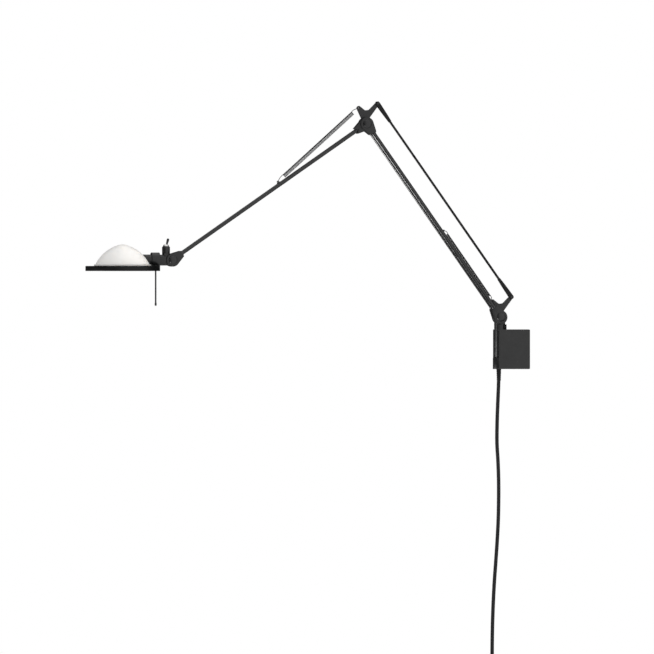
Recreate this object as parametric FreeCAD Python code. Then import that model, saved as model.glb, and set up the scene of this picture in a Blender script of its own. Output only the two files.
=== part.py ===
import FreeCAD
import Part
import math
import os

V = FreeCAD.Vector

# An articulating wall lamp. Millimetres, +Z up, the wall is the plane X = 0 and the
# lamp reaches out along -X. The origin is the middle of the wall face. The arms are
# drawn in their resting pose: the lower arm rises, the upper arm comes down again.

# ---- wall bracket -----------------------------------------------------------------
PLATE_THICK = 2.0           # wall plate
HOUSING_DEPTH = 59.6        # from the wall to the front edges of the cheeks
HOUSING_WIDTH = 60.0
HOUSING_HEIGHT = 75.0
HOUSING_WALL = 2.5
PARTITION_X = -38.5         # wall between the transformer and the open front
PLATE_GAP = 0.5             # wall plate stands this much inside the housing outline
FIXING_SPACING_Y = 36.0     # holes for the screws into the wall
FIXING_SPACING_Z = 52.0
FIXING_HOLE = 4.5
TAB_DEPTH = 8.0             # tabs of the wall plate that take the housing screws
TAB_WIDTH = 9.0
TAB_THICK = 3.0
TAB_Y = 20.0
SCREW_DIA = 3.0
SCREW_HEAD = 5.6
SCREW_LENGTH = 5.0
TRANSFORMER_DEPTH = 26.0
TRANSFORMER_WIDTH = 28.0
TRANSFORMER_HEIGHT = 46.0
TRANSFORMER_BEHIND = 3.0    # from the wall plate to the windings
TRANSFORMER_FOOT = 20.0     # depth of the feet that stand on the wall plate
TRANSFORMER_LEDGE = 4.0     # room round the feet, and over the terminals
TRANSFORMER_ROUND = 1.2
TERMINAL_HEIGHT = 9.0
TERMINAL_WIDTH = 26.0
TERMINAL_DEPTH = 12.0
TERMINAL_PITCH = 8.0
TERMINAL_HOLE = 3.0
TERMINAL_FLOOR = 4.0
LEAD_HOLE = 5.0
HOUSING_ROUND = 1.0

# ---- swivel -----------------------------------------------------------------------
SWIVEL_X = -52.6            # vertical swivel axis
POST_DIA = 21.0
POST_ROOM = 0.5             # round the post where it leaves the housing
PIVOT_DIA = 12.0            # fixed tube on which the post turns
PIVOT_BORE = 7.0
PIVOT_SUNK = 13.0           # length of the pivot tube inside the base block
PIVOT_BELOW = 4.0           # the tube ends this far under the drum
BASE_DIA = 26.0             # round block that carries the pivot tube
BASE_HEIGHT = 21.5
THRUST_THICK = 1.0
GUIDE_HEIGHT = 9.4          # saddle behind the post, on top of the housing
GUIDE_THICK = 2.4
GUIDE_HALF_ANGLE = 55.0
SHOULDER_Z = 60.5
DRUM_DIA = 27.0
DRUM_HALF = 8.0             # half width of the clevis at the top of the post

# ---- the stack of parts along each arm hinge (half widths along Y) ------------------
HORN_HALF = 2.0             # horn plates in the middle
EAR_INNER = 2.3             # ears of the upper arm's forks
EAR_OUTER = 7.2
EAR_SLOT = 13.5             # depth of the fork's slot past the hinge
WASHER_OUTER = 8.0
FITTING_INNER = 8.2         # end fittings of the twin lower arm
FITTING_OUTER = 14.2
BOLT_DIA = 6.0
KNOB_DIA = 16.0
KNOB_HEIGHT = 5.0
KNOB_EDGE = 1.8             # straight part of the knob's rim below its dome
KNOB_SUNK = 2.6             # how far the bolt reaches into each knob

# ---- arms ---------------------------------------------------------------------------
LOWER_LENGTH = 447.0
LOWER_LEAN = -35.2          # degrees about +Y from straight up; minus leans to -X
UPPER_LENGTH = 453.0
UPPER_LEAN = -124.65
TUBE_DIA = 7.8
TUBE_WALL = 1.0
TWIN_HALF = 11.2            # the lower arm's two tubes lie at Y = plus and minus this
FITTING_RADIUS = 12.3       # round end of a fitting about its hinge
FITTING_REACH = 22.0        # from the hinge to the end that takes the tube
FITTING_END = 12.0          # width of that end
SPIGOT_DIA = 4.0            # tongue of a tube inside its fitting
SPIGOT_LENGTH = 6.0
FERRULE_DIA = 9.2
FERRULE_LENGTH = 2.4
TAIL_OVER = 3.0             # the elbow fork's tails run this far beside the tube
TAIL_DEPTH = 7.0            # notch between the tails
TAIL_HALF = 5.0
LEAD_DIA = 2.2              # insulated wires inside the tubes

# ---- horn plates (X, Z from the hinge, with the corner's radius) ----------------------
HUB_RADIUS = 9.0
HORN_OUTLINE = [
    (9.0, 0.0, 0.0), (7.0, 11.2, 3.0), (26.95, 38.8, 3.2), (21.8, 42.95, 3.2),
    (5.5, 26.3, 5.0), (-2.0, 25.4, 4.0), (-13.7, 34.8, 3.3), (-18.8, 30.7, 3.3),
    (-8.9, 8.9, 6.0), (-9.0, 0.0, 0.0),
]
ROD_HORN = (22.3, 38.3)     # tie rod hinge on a horn plate
SPRING_HORN = (-14.2, 30.2)  # hook hole on a horn plate
HOOK_HOLE = 2.2
PLATE_PINS = [(-6.0, 6.6), (4.6, 7.6)]  # pins that fix the lower horn plate in the post

# ---- tie rod ---------------------------------------------------------------------------
ROD_DIA = 4.5
ROD_END_REACH = 42.0        # from the rod's hinge to the narrow end of its fork
ROD_END_WIDE = 8.0
ROD_SLOT = 26.0             # depth of the fork's slot
ROD_END_OUTER = 4.6         # half width of the fork along Y
ROD_SUNK = 8.0              # length of the rod inside each fork
ROD_PIN_DIA = 3.0
ROD_PIN_HEAD = 4.6
ROD_PIN_HEAD_THICK = 0.8

# ---- springs ----------------------------------------------------------------------------
WIRE_DIA = 1.2
COIL_MEAN_RADIUS = 3.3
HOOK_BEND = 1.2
HOOK_OVERSHOOT = 0.9        # the hook's tip stands this far past the plate
LOWER_ANCHOR = 196.0        # hook place on the lower arm, from the shoulder
LOWER_TURNS = 44
LOWER_COIL_START = 9.9      # from the horn's hole to the first turn
LOWER_COIL_LENGTH = 143.0
UPPER_ANCHOR = 201.6        # hook place on the upper arm, from the elbow
UPPER_TURNS = 54
UPPER_COIL_START = 13.3
UPPER_COIL_LENGTH = 178.5
ANCHOR_OFFSET = 6.2         # hook hole beside the arm's centre line
ANCHOR_EDGE = 1.8           # from the middle of the hook hole to the lug's rounded edge
ANCHOR_FOOT = 6.4           # length of the upper lug's foot on the tube
ANCHOR_FOOT_THICK = 0.8
ANCHOR_STEM = 2.0           # rivet stem of the upper lug
BRIDGE_DIA = 4.0            # cross bar between the lower arm's tubes

# ---- head ----------------------------------------------------------------------------------
TONGUE_HALF = 6.0           # the head joint's tongue between the wrist fork's ears
WRIST_OUTER = 11.3
WRIST_SLOT = 14.6
KNUCKLE_DIA = 20.6
KNUCKLE_FROM = 12.9         # the round body starts this far out from the hinge
ROLL_FACE = 24.4            # the head turns against the knuckle here
ROLL_GAP = 0.2
SPINDLE_DIA = 10.0
SPINDLE_BORE = 6.0
SPINDLE_LENGTH = 14.0       # past the face on which the head turns
SPINDLE_REST = 3.0          # the spindle's hole starts this far inside the round body
BOSS_OUT = 11.5             # switch boss, measured out from the hinge
BOSS_DIA = 15.0
BOSS_FOOT = 12.9
BOSS_TOP = 26.0
BOSS_CHAMFER = 1.6
SWITCH_DIA = 8.0
SWITCH_FOOT = 11.0
SWITCH_CUP = 5.0            # depth of the cup in which the lever's root rocks
NUT_HEIGHT = 3.5
NUT_DIA = 11.4
NUT_TOP_DIA = 7.8
NUT_BORE = 6.4
LEVER_SUNK = 1.6            # the lever rocks about a point this far inside the boss
LEVER_ROOT_DIA = 4.8
LEVER_LEAN = 15.2
LEVER_LENGTH = 17.0
LEVER_DIA = 3.4
LEVER_TIP_DIA = 4.8
LEVER_STRAIGHT = 6.0        # length that keeps the root's thickness, up to above the nut
BARREL_DIA = 21.0
BARREL_BORE = 17.0
BARREL_END = 60.0
BARREL_SHELF = 2.0          # from the spindle's end to the wide bore
COLLAR_DIA = 28.6
COLLAR_LENGTH = 15.4
LUG_LENGTH = 19.4
LUG_HALF = 10.0
LUG_RISE = 3.0              # the lug reaches this far above the ring
RING_OUT = 95.0             # centre of the ring, out from the hinge
RING_DIA = 140.0
RING_TOP = -11.1
RING_THICK = 9.5
RING_BORE = 96.0
RING_MOUTH = 124.0          # the ring's bore opens to this at its lower face
DOME_BASE_RADIUS = 51.2
DOME_TOP = 30.0
DOME_WALL = 3.0
DOME_FLANGE = 2.8
DOME_FLANGE_RADIUS = 53.6
DOME_SHOULDER = (43.0, 4.6)  # half width and height of a point on the dome's curve
DOME_HOLE = 22.0
SOCKET_DIA = 16.4
SOCKET_LENGTH = 16.0
BULB_DIA = 12.0
BULB_LENGTH = 44.0
BULB_PIN_DIA = 1.0
BULB_PIN_HALF = 3.2
BULB_PIN_LENGTH = 7.0
HANDLE_OUT = 31.3
HANDLE_DIA = 3.0
HANDLE_SUNK = 5.0
HANDLE_BOTTOM = -80.5
HANDLE_TIP_DIA = 3.8
HANDLE_TIP_LENGTH = 6.0

# ---- mains cord --------------------------------------------------------------------------------
CORD_DIA = 7.0
GLAND_DIA = 11.0
GLAND_LENGTH = 7.0
CORD_X = -54.3
# The free stretch, chosen by hand from the cord as it hangs.
CORD_ROUTE = [
    (-54.3, 0.0, -37.5), (-54.3, 0.0, -58.0), (-56.0, 0.0, -95.8), (-57.5, 0.0, -133.6),
    (-58.1, 0.0, -171.3), (-57.3, 0.0, -190.2), (-55.9, 0.0, -209.1), (-54.5, 0.0, -246.9),
    (-54.5, 0.0, -284.6), (-55.2, 0.0, -322.4), (-57.2, 0.0, -360.1), (-59.8, 0.0, -397.9),
    (-63.1, 0.0, -441.3), (-65.6, -0.8, -487.0), (-67.4, -2.4, -538.0),
    (-68.0, -3.75, -590.0), (-68.0, -3.75, -630.0),
]
LAYER_HALF = 3.75           # the coil's two layers lie at Y = plus and minus this
COIL_OUTER = 49.7           # centre line radii of the coil's outer and inner turns
COIL_INNER = 30.0
COIL_LAYER_TURNS = 2.25
TAIL_ROUTE_DOWN = [(0.0, 0.0, 0.0), (0.0, 0.0, -24.0), (1.6, -1.4, -56.0), (1.6, -1.4, -82.0)]
TIE_WIDTH = 4.0
TIE_THICK = 1.2
TIE_CLEAR = 0.35
PLUG_LENGTH = 38.0
PLUG_WIDTH = 35.0
PLUG_THICK = 13.5
PLUG_NECK_DIA = 10.0
PLUG_NECK_LENGTH = 3.0
PLUG_SHOULDER = 12.0        # height of the widest place, and depth of the sloping top
PLUG_TAPER = 4.0
PLUG_PIN_SUNK = 8.0
PLUG_PIN_DIA = 4.0
PLUG_PIN_LENGTH = 19.0
PLUG_PIN_SPACING = 18.6

# ---- fits ------------------------------------------------------------------------------------------
FIT = 0.02                  # radial room round a part that is fixed in its hole
RUN = 0.06                  # radial room round a shaft that turns
FACE_GAP = 0.2              # between faces that slide on each other
CROWN_FLAT = 0.8            # radius of the small flat at the top of a dome
THROUGH = 20.0              # half length of a cut that goes right through

HALF_W = HOUSING_WIDTH / 2
HALF_H = HOUSING_HEIGHT / 2
SHOULDER = V(SWIVEL_X, 0, SHOULDER_Z)


def along(point, lean, distance, side=0.0, y=0.0):
    """A point on an arm: distance from its hinge, side to the arm's upper side."""
    a = math.radians(lean)
    return point + V(distance * math.sin(a) + side * math.cos(a), y,
                     distance * math.cos(a) - side * math.sin(a))


ELBOW = along(SHOULDER, LOWER_LEAN, LOWER_LENGTH)
WRIST = along(ELBOW, UPPER_LEAN, UPPER_LENGTH)


# ---- shapes ---------------------------------------------------------------------------------

def box(x0, x1, y0, y1, z0, z1):
    return Part.makeBox(x1 - x0, y1 - y0, z1 - z0, V(x0, y0, z0))


def rod(start, end, diameter):
    return Part.makeCylinder(diameter / 2, (end - start).Length, start, end - start)


def rod_y(at, y0, y1, diameter):
    return rod(V(at.x, y0, at.z), V(at.x, y1, at.z), diameter)


def tube(start, end, diameter, bore):
    over = (end - start).normalize()
    return rod(start, end, diameter).cut(rod(start - over, end + over, bore))


def cone(start, end, diameter, end_diameter):
    return Part.makeCone(diameter / 2, end_diameter / 2, (end - start).Length, start, end - start)


def both_sides(shape):
    """The shape and its twin on the other side of the plane Y = 0."""
    return [shape, shape.mirror(V(0, 0, 0), V(0, 1, 0))]


def plate(wire, y0, y1):
    """A wire drawn in the XZ plane at Y = 0, made solid from y0 to y1."""
    face = Part.Face(wire)
    face.translate(V(0, y0, 0))
    return face.extrude(V(0, y1 - y0, 0))


def rounded_wire(corners):
    """A closed outline in the XZ plane from (x, z, corner radius)."""
    points = [V(x, 0, z) for x, z, _ in corners]
    edges = []
    previous = None
    first = None
    for i, (_, _, radius) in enumerate(corners):
        corner = points[i]
        back = (points[i - 1] - corner).normalize()
        ahead = (points[(i + 1) % len(points)] - corner).normalize()
        half = back.getAngle(ahead) / 2
        reach = radius / math.tan(half)
        enter = corner + back * reach
        leave = corner + ahead * reach
        if previous is not None:
            edges.append(Part.LineSegment(previous, enter).toShape())
        else:
            first = enter
        if radius > 0:
            middle = (back + ahead).normalize()
            top = corner + middle * (radius / math.sin(half) - radius)
            edges.append(Part.Arc(enter, top, leave).toShape())
        previous = leave
    edges.append(Part.LineSegment(previous, first).toShape())
    return Part.Wire(edges)


def placed(shape, at, lean=0.0):
    """A shape drawn about the origin, leaned about +Y and carried to its hinge."""
    out = shape.copy()
    out.rotate(V(0, 0, 0), V(0, 1, 0), lean)
    out.translate(at)
    return out


def teardrop(y0, y1, end=FITTING_REACH):
    """A fitting's side view: round about the hinge, flat at the other end."""
    half_end = FITTING_END / 2
    reach = math.hypot(half_end, end)
    turn = math.atan2(half_end, end) + math.acos(FITTING_RADIUS / reach)
    tx = FITTING_RADIUS * math.sin(turn)
    tz = FITTING_RADIUS * math.cos(turn)
    edges = [
        Part.Arc(V(tx, 0, tz), V(0, 0, -FITTING_RADIUS), V(-tx, 0, tz)).toShape(),
        Part.LineSegment(V(-tx, 0, tz), V(-half_end, 0, end)).toShape(),
        Part.LineSegment(V(-half_end, 0, end), V(half_end, 0, end)).toShape(),
        Part.LineSegment(V(half_end, 0, end), V(tx, 0, tz)).toShape(),
    ]
    return plate(Part.Wire(edges), y0, y1)


def knob(at, y_face, diameter=KNOB_DIA):
    """A domed cap on the outer face at Y = y_face, opening towards -Y, bored for the bolt."""
    half = diameter / 2
    dome = KNOB_HEIGHT - KNOB_EDGE
    edges = [
        Part.LineSegment(V(0, 0, 0), V(half, 0, 0)).toShape(),
        Part.LineSegment(V(half, 0, 0), V(half, -KNOB_EDGE, 0)).toShape(),
        Part.Arc(V(half, -KNOB_EDGE, 0), V(half * 0.72, -KNOB_EDGE - dome * 0.62, 0),
                 V(CROWN_FLAT, -KNOB_HEIGHT, 0)).toShape(),
        Part.LineSegment(V(CROWN_FLAT, -KNOB_HEIGHT, 0), V(0, -KNOB_HEIGHT, 0)).toShape(),
        Part.LineSegment(V(0, -KNOB_HEIGHT, 0), V(0, 0, 0)).toShape(),
    ]
    cap = Part.Face(Part.Wire(edges)).revolve(V(0, 0, 0), V(0, 1, 0), 360)
    cap.translate(V(at.x, y_face, at.z))
    return cap.cut(rod_y(at, y_face - KNOB_SUNK - FIT, y_face + 1, BOLT_DIA + 2 * FIT))


def hinge_bolt(at, y_face):
    """The bolt of a hinge whose knobs sit on the faces at Y = plus and minus y_face."""
    reach = y_face + KNOB_SUNK
    return rod_y(at, -reach, reach, BOLT_DIA)


def washers(at, inner, outer, diameter):
    one = tube(V(at.x, inner, at.z), V(at.x, outer, at.z), diameter, BOLT_DIA + 2 * RUN)
    return Part.Compound(both_sides(one))


# ---- wall bracket -----------------------------------------------------------------

def make_wall_plate():
    shape = box(-PLATE_THICK, 0, -HALF_W + PLATE_GAP, HALF_W - PLATE_GAP,
                -HALF_H + PLATE_GAP, HALF_H - PLATE_GAP)
    for y in (-FIXING_SPACING_Y / 2, FIXING_SPACING_Y / 2):
        for z in (-FIXING_SPACING_Z / 2, FIXING_SPACING_Z / 2):
            shape = shape.cut(rod(V(-PLATE_THICK - 1, y, z), V(1, y, z), FIXING_HOLE))
    tab_top = HALF_H - HOUSING_WALL - FIT
    for z in (tab_top - TAB_THICK, -tab_top):
        for y in (-TAB_Y, TAB_Y):
            tab = box(-PLATE_THICK - TAB_DEPTH, -PLATE_THICK, y - TAB_WIDTH / 2,
                      y + TAB_WIDTH / 2, z, z + TAB_THICK)
            shape = shape.fuse(tab)
    for hole in screw_places():
        shape = shape.cut(rod(hole - V(0, 0, TAB_THICK + 1), hole + V(0, 0, TAB_THICK + 1),
                              SCREW_DIA + 2 * FIT))
    return shape.removeSplitter()


def screw_places():
    """Middles of the tabs, at the heights of the tabs' faces against the housing."""
    x = -PLATE_THICK - TAB_DEPTH / 2
    z = HALF_H - HOUSING_WALL - FIT
    return [V(x, y, side * z) for y in (-TAB_Y, TAB_Y) for side in (-1, 1)]


def make_screw(place, grow):
    """A countersunk screw, its head flush with the housing; grow opens it into its hole."""
    side = 1 if place.z > 0 else -1
    top = V(place.x, place.y, side * HALF_H)
    head = (SCREW_HEAD - SCREW_DIA) / 2
    down = V(0, 0, -side)
    shape = cone(top, top + down * head, SCREW_HEAD + 2 * grow, SCREW_DIA + 2 * grow)
    shank = rod(top + down * (head - 0.01), top + down * SCREW_LENGTH, SCREW_DIA + 2 * grow)
    return shape.fuse(shank).removeSplitter()


def make_housing_screws():
    return Part.Compound([make_screw(place, 0.0) for place in screw_places()])


def make_housing():
    inside_w = HALF_W - HOUSING_WALL
    inside_h = HALF_H - HOUSING_WALL
    shape = box(-HOUSING_DEPTH, -PLATE_THICK, -HALF_W, HALF_W, -HALF_H, HALF_H)
    edges = [e for e in shape.Edges
             if abs(e.tangentAt(e.FirstParameter).x) > 0.9 or
             e.BoundBox.XMax < -HOUSING_DEPTH + 0.1]
    shape = shape.makeFillet(HOUSING_ROUND, edges)
    behind = PARTITION_X + HOUSING_WALL
    shape = shape.cut(box(behind, 1, -inside_w, inside_w, -inside_h, inside_h))
    shape = shape.cut(box(-HOUSING_DEPTH - 1, PARTITION_X, -inside_w, inside_w,
                          -inside_h, inside_h))
    slot = POST_DIA / 2 + POST_ROOM
    axis = V(SWIVEL_X, 0, inside_h - 1)
    notch = rod(axis, axis + V(0, 0, HOUSING_WALL + 2), 2 * slot)
    notch = notch.fuse(box(-HOUSING_DEPTH - 1, SWIVEL_X, -slot, slot, inside_h - 1, HALF_H + 1))
    shape = shape.cut(notch)
    base_hole = rod(V(SWIVEL_X, 0, -HALF_H - 1), V(SWIVEL_X, 0, -inside_h + 1),
                    BASE_DIA + 2 * FIT)
    base_slot = box(-HOUSING_DEPTH - 1, SWIVEL_X, -BASE_DIA / 2 - FIT, BASE_DIA / 2 + FIT,
                    -HALF_H - 1, -inside_h + 1)
    shape = shape.cut(base_hole).cut(base_slot)
    lead_z = -inside_h + LEAD_HOLE
    lead_hole = rod(V(PARTITION_X - 1, 0, lead_z), V(behind + 1, 0, lead_z), LEAD_HOLE)
    shape = shape.cut(lead_hole)
    for place in screw_places():
        shape = shape.cut(make_screw(place, FIT))
    return shape


def base_top():
    return -HALF_H + BASE_HEIGHT


def make_base_block():
    """The round block at the foot of the post, with its web back to the partition."""
    low = V(SWIVEL_X, 0, -HALF_H)
    shape = rod(low, V(SWIVEL_X, 0, base_top()), BASE_DIA)
    web_low = -HALF_H + HOUSING_WALL + FIT
    web = box(SWIVEL_X, PARTITION_X - FIT, -BASE_DIA / 2, BASE_DIA / 2, web_low, base_top())
    shape = shape.fuse(web).removeSplitter()
    shape = shape.cut(rod(V(SWIVEL_X, 0, base_top() - PIVOT_SUNK - FIT),
                          V(SWIVEL_X, 0, base_top() + 1), PIVOT_DIA + 2 * FIT))
    gland = V(CORD_X, 0, -HALF_H)
    return shape.cut(rod(gland - V(0, 0, 1), gland + V(0, 0, GLAND_LENGTH + FIT),
                         GLAND_DIA + 2 * FIT))


def make_gland():
    low = V(CORD_X, 0, -HALF_H)
    return rod(low, low + V(0, 0, GLAND_LENGTH), GLAND_DIA)


def pivot_top():
    return SHOULDER_Z - DRUM_DIA / 2 - PIVOT_BELOW


def make_pivot_tube():
    foot = V(SWIVEL_X, 0, base_top() - PIVOT_SUNK)
    return tube(foot, V(SWIVEL_X, 0, pivot_top()), PIVOT_DIA, PIVOT_BORE)


def make_thrust_washer():
    low = V(SWIVEL_X, 0, base_top())
    return tube(low, low + V(0, 0, THRUST_THICK), POST_DIA, PIVOT_DIA + 2 * RUN)


def make_post_guide():
    """A saddle that steadies the post from behind, screwed on top of the housing."""
    inner = POST_DIA / 2 + FACE_GAP
    foot = V(SWIVEL_X, 0, HALF_H)
    ring = tube(foot, foot + V(0, 0, GUIDE_HEIGHT), 2 * (inner + GUIDE_THICK), 2 * inner)
    reach = 2 * POST_DIA
    edge = reach * math.tan(math.radians(GUIDE_HALF_ANGLE))
    wedge = Part.makePolygon([foot, foot + V(reach, -edge, 0), foot + V(reach, edge, 0), foot])
    return ring.common(Part.Face(wedge).extrude(V(0, 0, GUIDE_HEIGHT)))


def make_transformer():
    x0 = -PLATE_THICK - TRANSFORMER_BEHIND - TRANSFORMER_DEPTH
    ledge = TRANSFORMER_LEDGE
    floor = -HALF_H + HOUSING_WALL + TERMINAL_HEIGHT + ledge
    core = box(x0, x0 + TRANSFORMER_DEPTH, -TRANSFORMER_WIDTH / 2, TRANSFORMER_WIDTH / 2,
               floor, floor + TRANSFORMER_HEIGHT)
    core = core.makeFillet(TRANSFORMER_ROUND, core.Edges)
    foot = box(-PLATE_THICK - TRANSFORMER_FOOT, -PLATE_THICK, -TRANSFORMER_WIDTH / 2 + ledge,
               TRANSFORMER_WIDTH / 2 - ledge, floor + 2 * ledge,
               floor + TRANSFORMER_HEIGHT - 2 * ledge)
    return core.fuse(foot).removeSplitter()


def make_terminal_block():
    floor = -HALF_H + HOUSING_WALL + FIT
    x1 = -PLATE_THICK - TAB_DEPTH
    shape = box(x1 - TERMINAL_DEPTH, x1, -TERMINAL_WIDTH / 2, TERMINAL_WIDTH / 2, floor,
                floor + TERMINAL_HEIGHT)
    for y in (-TERMINAL_PITCH, 0, TERMINAL_PITCH):
        for x in (x1 - 0.3 * TERMINAL_DEPTH, x1 - 0.7 * TERMINAL_DEPTH):
            hole = V(x, y, floor + TERMINAL_FLOOR)
            shape = shape.cut(rod(hole, hole + V(0, 0, TERMINAL_HEIGHT), TERMINAL_HOLE))
    return shape


# ---- swivel body -------------------------------------------------------------------

def post_foot():
    return base_top() + THRUST_THICK + FACE_GAP


def make_post():
    """The turning post with a slotted drum at its top for the horn plate."""
    shape = rod(V(SWIVEL_X, 0, post_foot()), SHOULDER, POST_DIA)
    shape = shape.fuse(rod_y(SHOULDER, -DRUM_HALF, DRUM_HALF, DRUM_DIA))
    shape = shape.removeSplitter()
    shape = shape.cut(rod(V(SWIVEL_X, 0, post_foot() - 1), V(SWIVEL_X, 0, pivot_top() + 1),
                          PIVOT_DIA + 2 * RUN))
    slot = HORN_HALF + FIT
    floor = SHOULDER_Z - HUB_RADIUS - FIT
    shape = shape.cut(box(SWIVEL_X - DRUM_DIA, SWIVEL_X + DRUM_DIA, -slot, slot,
                          floor, SHOULDER_Z + DRUM_DIA))
    beside = POST_DIA
    lift = SHOULDER_Z - FITTING_RADIUS - 1.0
    top = SHOULDER_Z + DRUM_DIA
    for y in (DRUM_HALF, -beside):
        shape = shape.cut(box(SWIVEL_X - beside, SWIVEL_X + beside, y, y + beside - DRUM_HALF,
                              lift, top))
    shape = shape.cut(rod_y(SHOULDER, -THROUGH, THROUGH, BOLT_DIA + 2 * FIT))
    for pin in plate_pins():
        shape = shape.cut(rod_y(pin, -THROUGH, THROUGH, SCREW_DIA + 2 * FIT))
    return shape


def plate_pins():
    """Two pins that fix the shoulder's horn plate in the drum."""
    return [SHOULDER + V(x, 0, z) for x, z in PLATE_PINS]


def make_horn_plate(at, bolt_room):
    hub = rod_y(V(0, 0, 0), -HORN_HALF, HORN_HALF, 2 * HUB_RADIUS)
    horns = plate(rounded_wire(HORN_OUTLINE), -HORN_HALF, HORN_HALF)
    shape = placed(hub.fuse(horns).removeSplitter(), at)
    shape = shape.cut(rod_y(at, -THROUGH, THROUGH, BOLT_DIA + 2 * bolt_room))
    rod_hole = at + V(ROD_HORN[0], 0, ROD_HORN[1])
    spring_hole = at + V(SPRING_HORN[0], 0, SPRING_HORN[1])
    shape = shape.cut(rod_y(rod_hole, -THROUGH, THROUGH, ROD_PIN_DIA + 2 * FIT))
    return shape.cut(rod_y(spring_hole, -THROUGH, THROUGH, HOOK_HOLE))


def make_shoulder_horn():
    shape = make_horn_plate(SHOULDER, FIT)
    for pin in plate_pins():
        shape = shape.cut(rod_y(pin, -THROUGH, THROUGH, SCREW_DIA + 2 * FIT))
    return shape


def make_plate_pins():
    return Part.Compound([rod_y(pin, -DRUM_HALF, DRUM_HALF, SCREW_DIA) for pin in plate_pins()])


def make_knobs(at, y_face):
    return Part.Compound(both_sides(knob(at, -y_face)))


# ---- lower arm -------------------------------------------------------------------------

def fitting(at, lean, bolt_room):
    """One outer end fitting of the twin arm, on the -Y side."""
    shape = teardrop(-FITTING_OUTER, -FITTING_INNER)
    socket = V(0, -TWIN_HALF, FITTING_REACH)
    shape = shape.cut(rod(socket - V(0, 0, SPIGOT_LENGTH + FIT), socket + V(0, 0, 1),
                          SPIGOT_DIA + 2 * FIT))
    shape = shape.cut(rod_y(V(0, 0, 0), -THROUGH, 0, BOLT_DIA + 2 * bolt_room))
    return placed(shape, at, lean)


def make_shoulder_fittings():
    return Part.Compound(both_sides(fitting(SHOULDER, LOWER_LEAN, RUN)))


def make_elbow_fittings():
    return Part.Compound(both_sides(fitting(ELBOW, LOWER_LEAN + 180, FIT)))


def arm_tube(length, y):
    """A tube with its two tongues, drawn up along +Z from the lower hinge."""
    low = V(0, y, FITTING_REACH + FIT)
    high = V(0, y, length - FITTING_REACH - FIT)
    shape = rod(low, high, TUBE_DIA)
    into = V(0, 0, SPIGOT_LENGTH)
    shape = shape.fuse(rod(low - into, high + into, SPIGOT_DIA)).removeSplitter()
    bore = TUBE_DIA - 2 * TUBE_WALL
    hollow = rod(low + into, high - into, bore)
    lead_way = rod(low - into * 2, high + into * 2, LEAD_DIA + 2 * FIT)
    return shape.cut(hollow).cut(lead_way)


def make_lower_tubes():
    one = arm_tube(LOWER_LENGTH, -TWIN_HALF)
    one = one.cut(rod_y(V(0, 0, LOWER_ANCHOR), -bridge_reach() - FIT, 0, BRIDGE_DIA + 2 * FIT))
    return Part.Compound(both_sides(placed(one, SHOULDER, LOWER_LEAN)))


def ferrule(distance, y):
    base = V(0, y, distance)
    return tube(base, base + V(0, 0, FERRULE_LENGTH), FERRULE_DIA, TUBE_DIA + 2 * FIT)


def make_lower_ferrules():
    near = ferrule(FITTING_REACH + FIT, -TWIN_HALF)
    far = ferrule(LOWER_LENGTH - FITTING_REACH - FIT - FERRULE_LENGTH, -TWIN_HALF)
    pieces = both_sides(near) + both_sides(far)
    return Part.Compound([placed(piece, SHOULDER, LOWER_LEAN) for piece in pieces])


def arm_lead(at, lean, length, y):
    reach = FITTING_REACH - SPIGOT_LENGTH
    return placed(rod(V(0, y, reach + 1), V(0, y, length - reach - 1), LEAD_DIA), at, lean)


def make_lower_leads():
    return Part.Compound(both_sides(arm_lead(SHOULDER, LOWER_LEAN, LOWER_LENGTH, -TWIN_HALF)))


def hook_lug(distance, foot):
    """A rounded lug up to the hook's hole, from foot, measured beside the arm's centre line."""
    shape = rod_y(V(ANCHOR_OFFSET, 0, distance), -HORN_HALF, HORN_HALF, 2 * ANCHOR_EDGE)
    return shape.fuse(box(foot, ANCHOR_OFFSET, -HORN_HALF, HORN_HALF, distance - ANCHOR_EDGE,
                          distance + ANCHOR_EDGE))


def hook_hole(distance):
    return rod_y(V(ANCHOR_OFFSET, 0, distance), -THROUGH, THROUGH, HOOK_HOLE)


def bridge_reach():
    """Half length of the cross bar, whose ends stand in the tubes' inner walls."""
    return TWIN_HALF - TUBE_DIA / 2 + TUBE_WALL


def make_spring_bridge():
    """A bar across between the two tubes, with the lug that holds the lower spring."""
    bar = rod_y(V(0, 0, LOWER_ANCHOR), -bridge_reach(), bridge_reach(), BRIDGE_DIA)
    shape = bar.fuse(hook_lug(LOWER_ANCHOR, 0)).removeSplitter()
    return placed(shape.cut(hook_hole(LOWER_ANCHOR)), SHOULDER, LOWER_LEAN)


# ---- tie rod -----------------------------------------------------------------------------

def rod_low():
    return SHOULDER + V(ROD_HORN[0], 0, ROD_HORN[1])


def rod_high():
    return ELBOW + V(ROD_HORN[0], 0, ROD_HORN[1])


def make_tie_rod():
    into = ROD_END_REACH - ROD_SUNK
    shape = rod(V(0, 0, into), V(0, 0, LOWER_LENGTH - into), ROD_DIA)
    return placed(shape, rod_low(), LOWER_LEAN)


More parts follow.
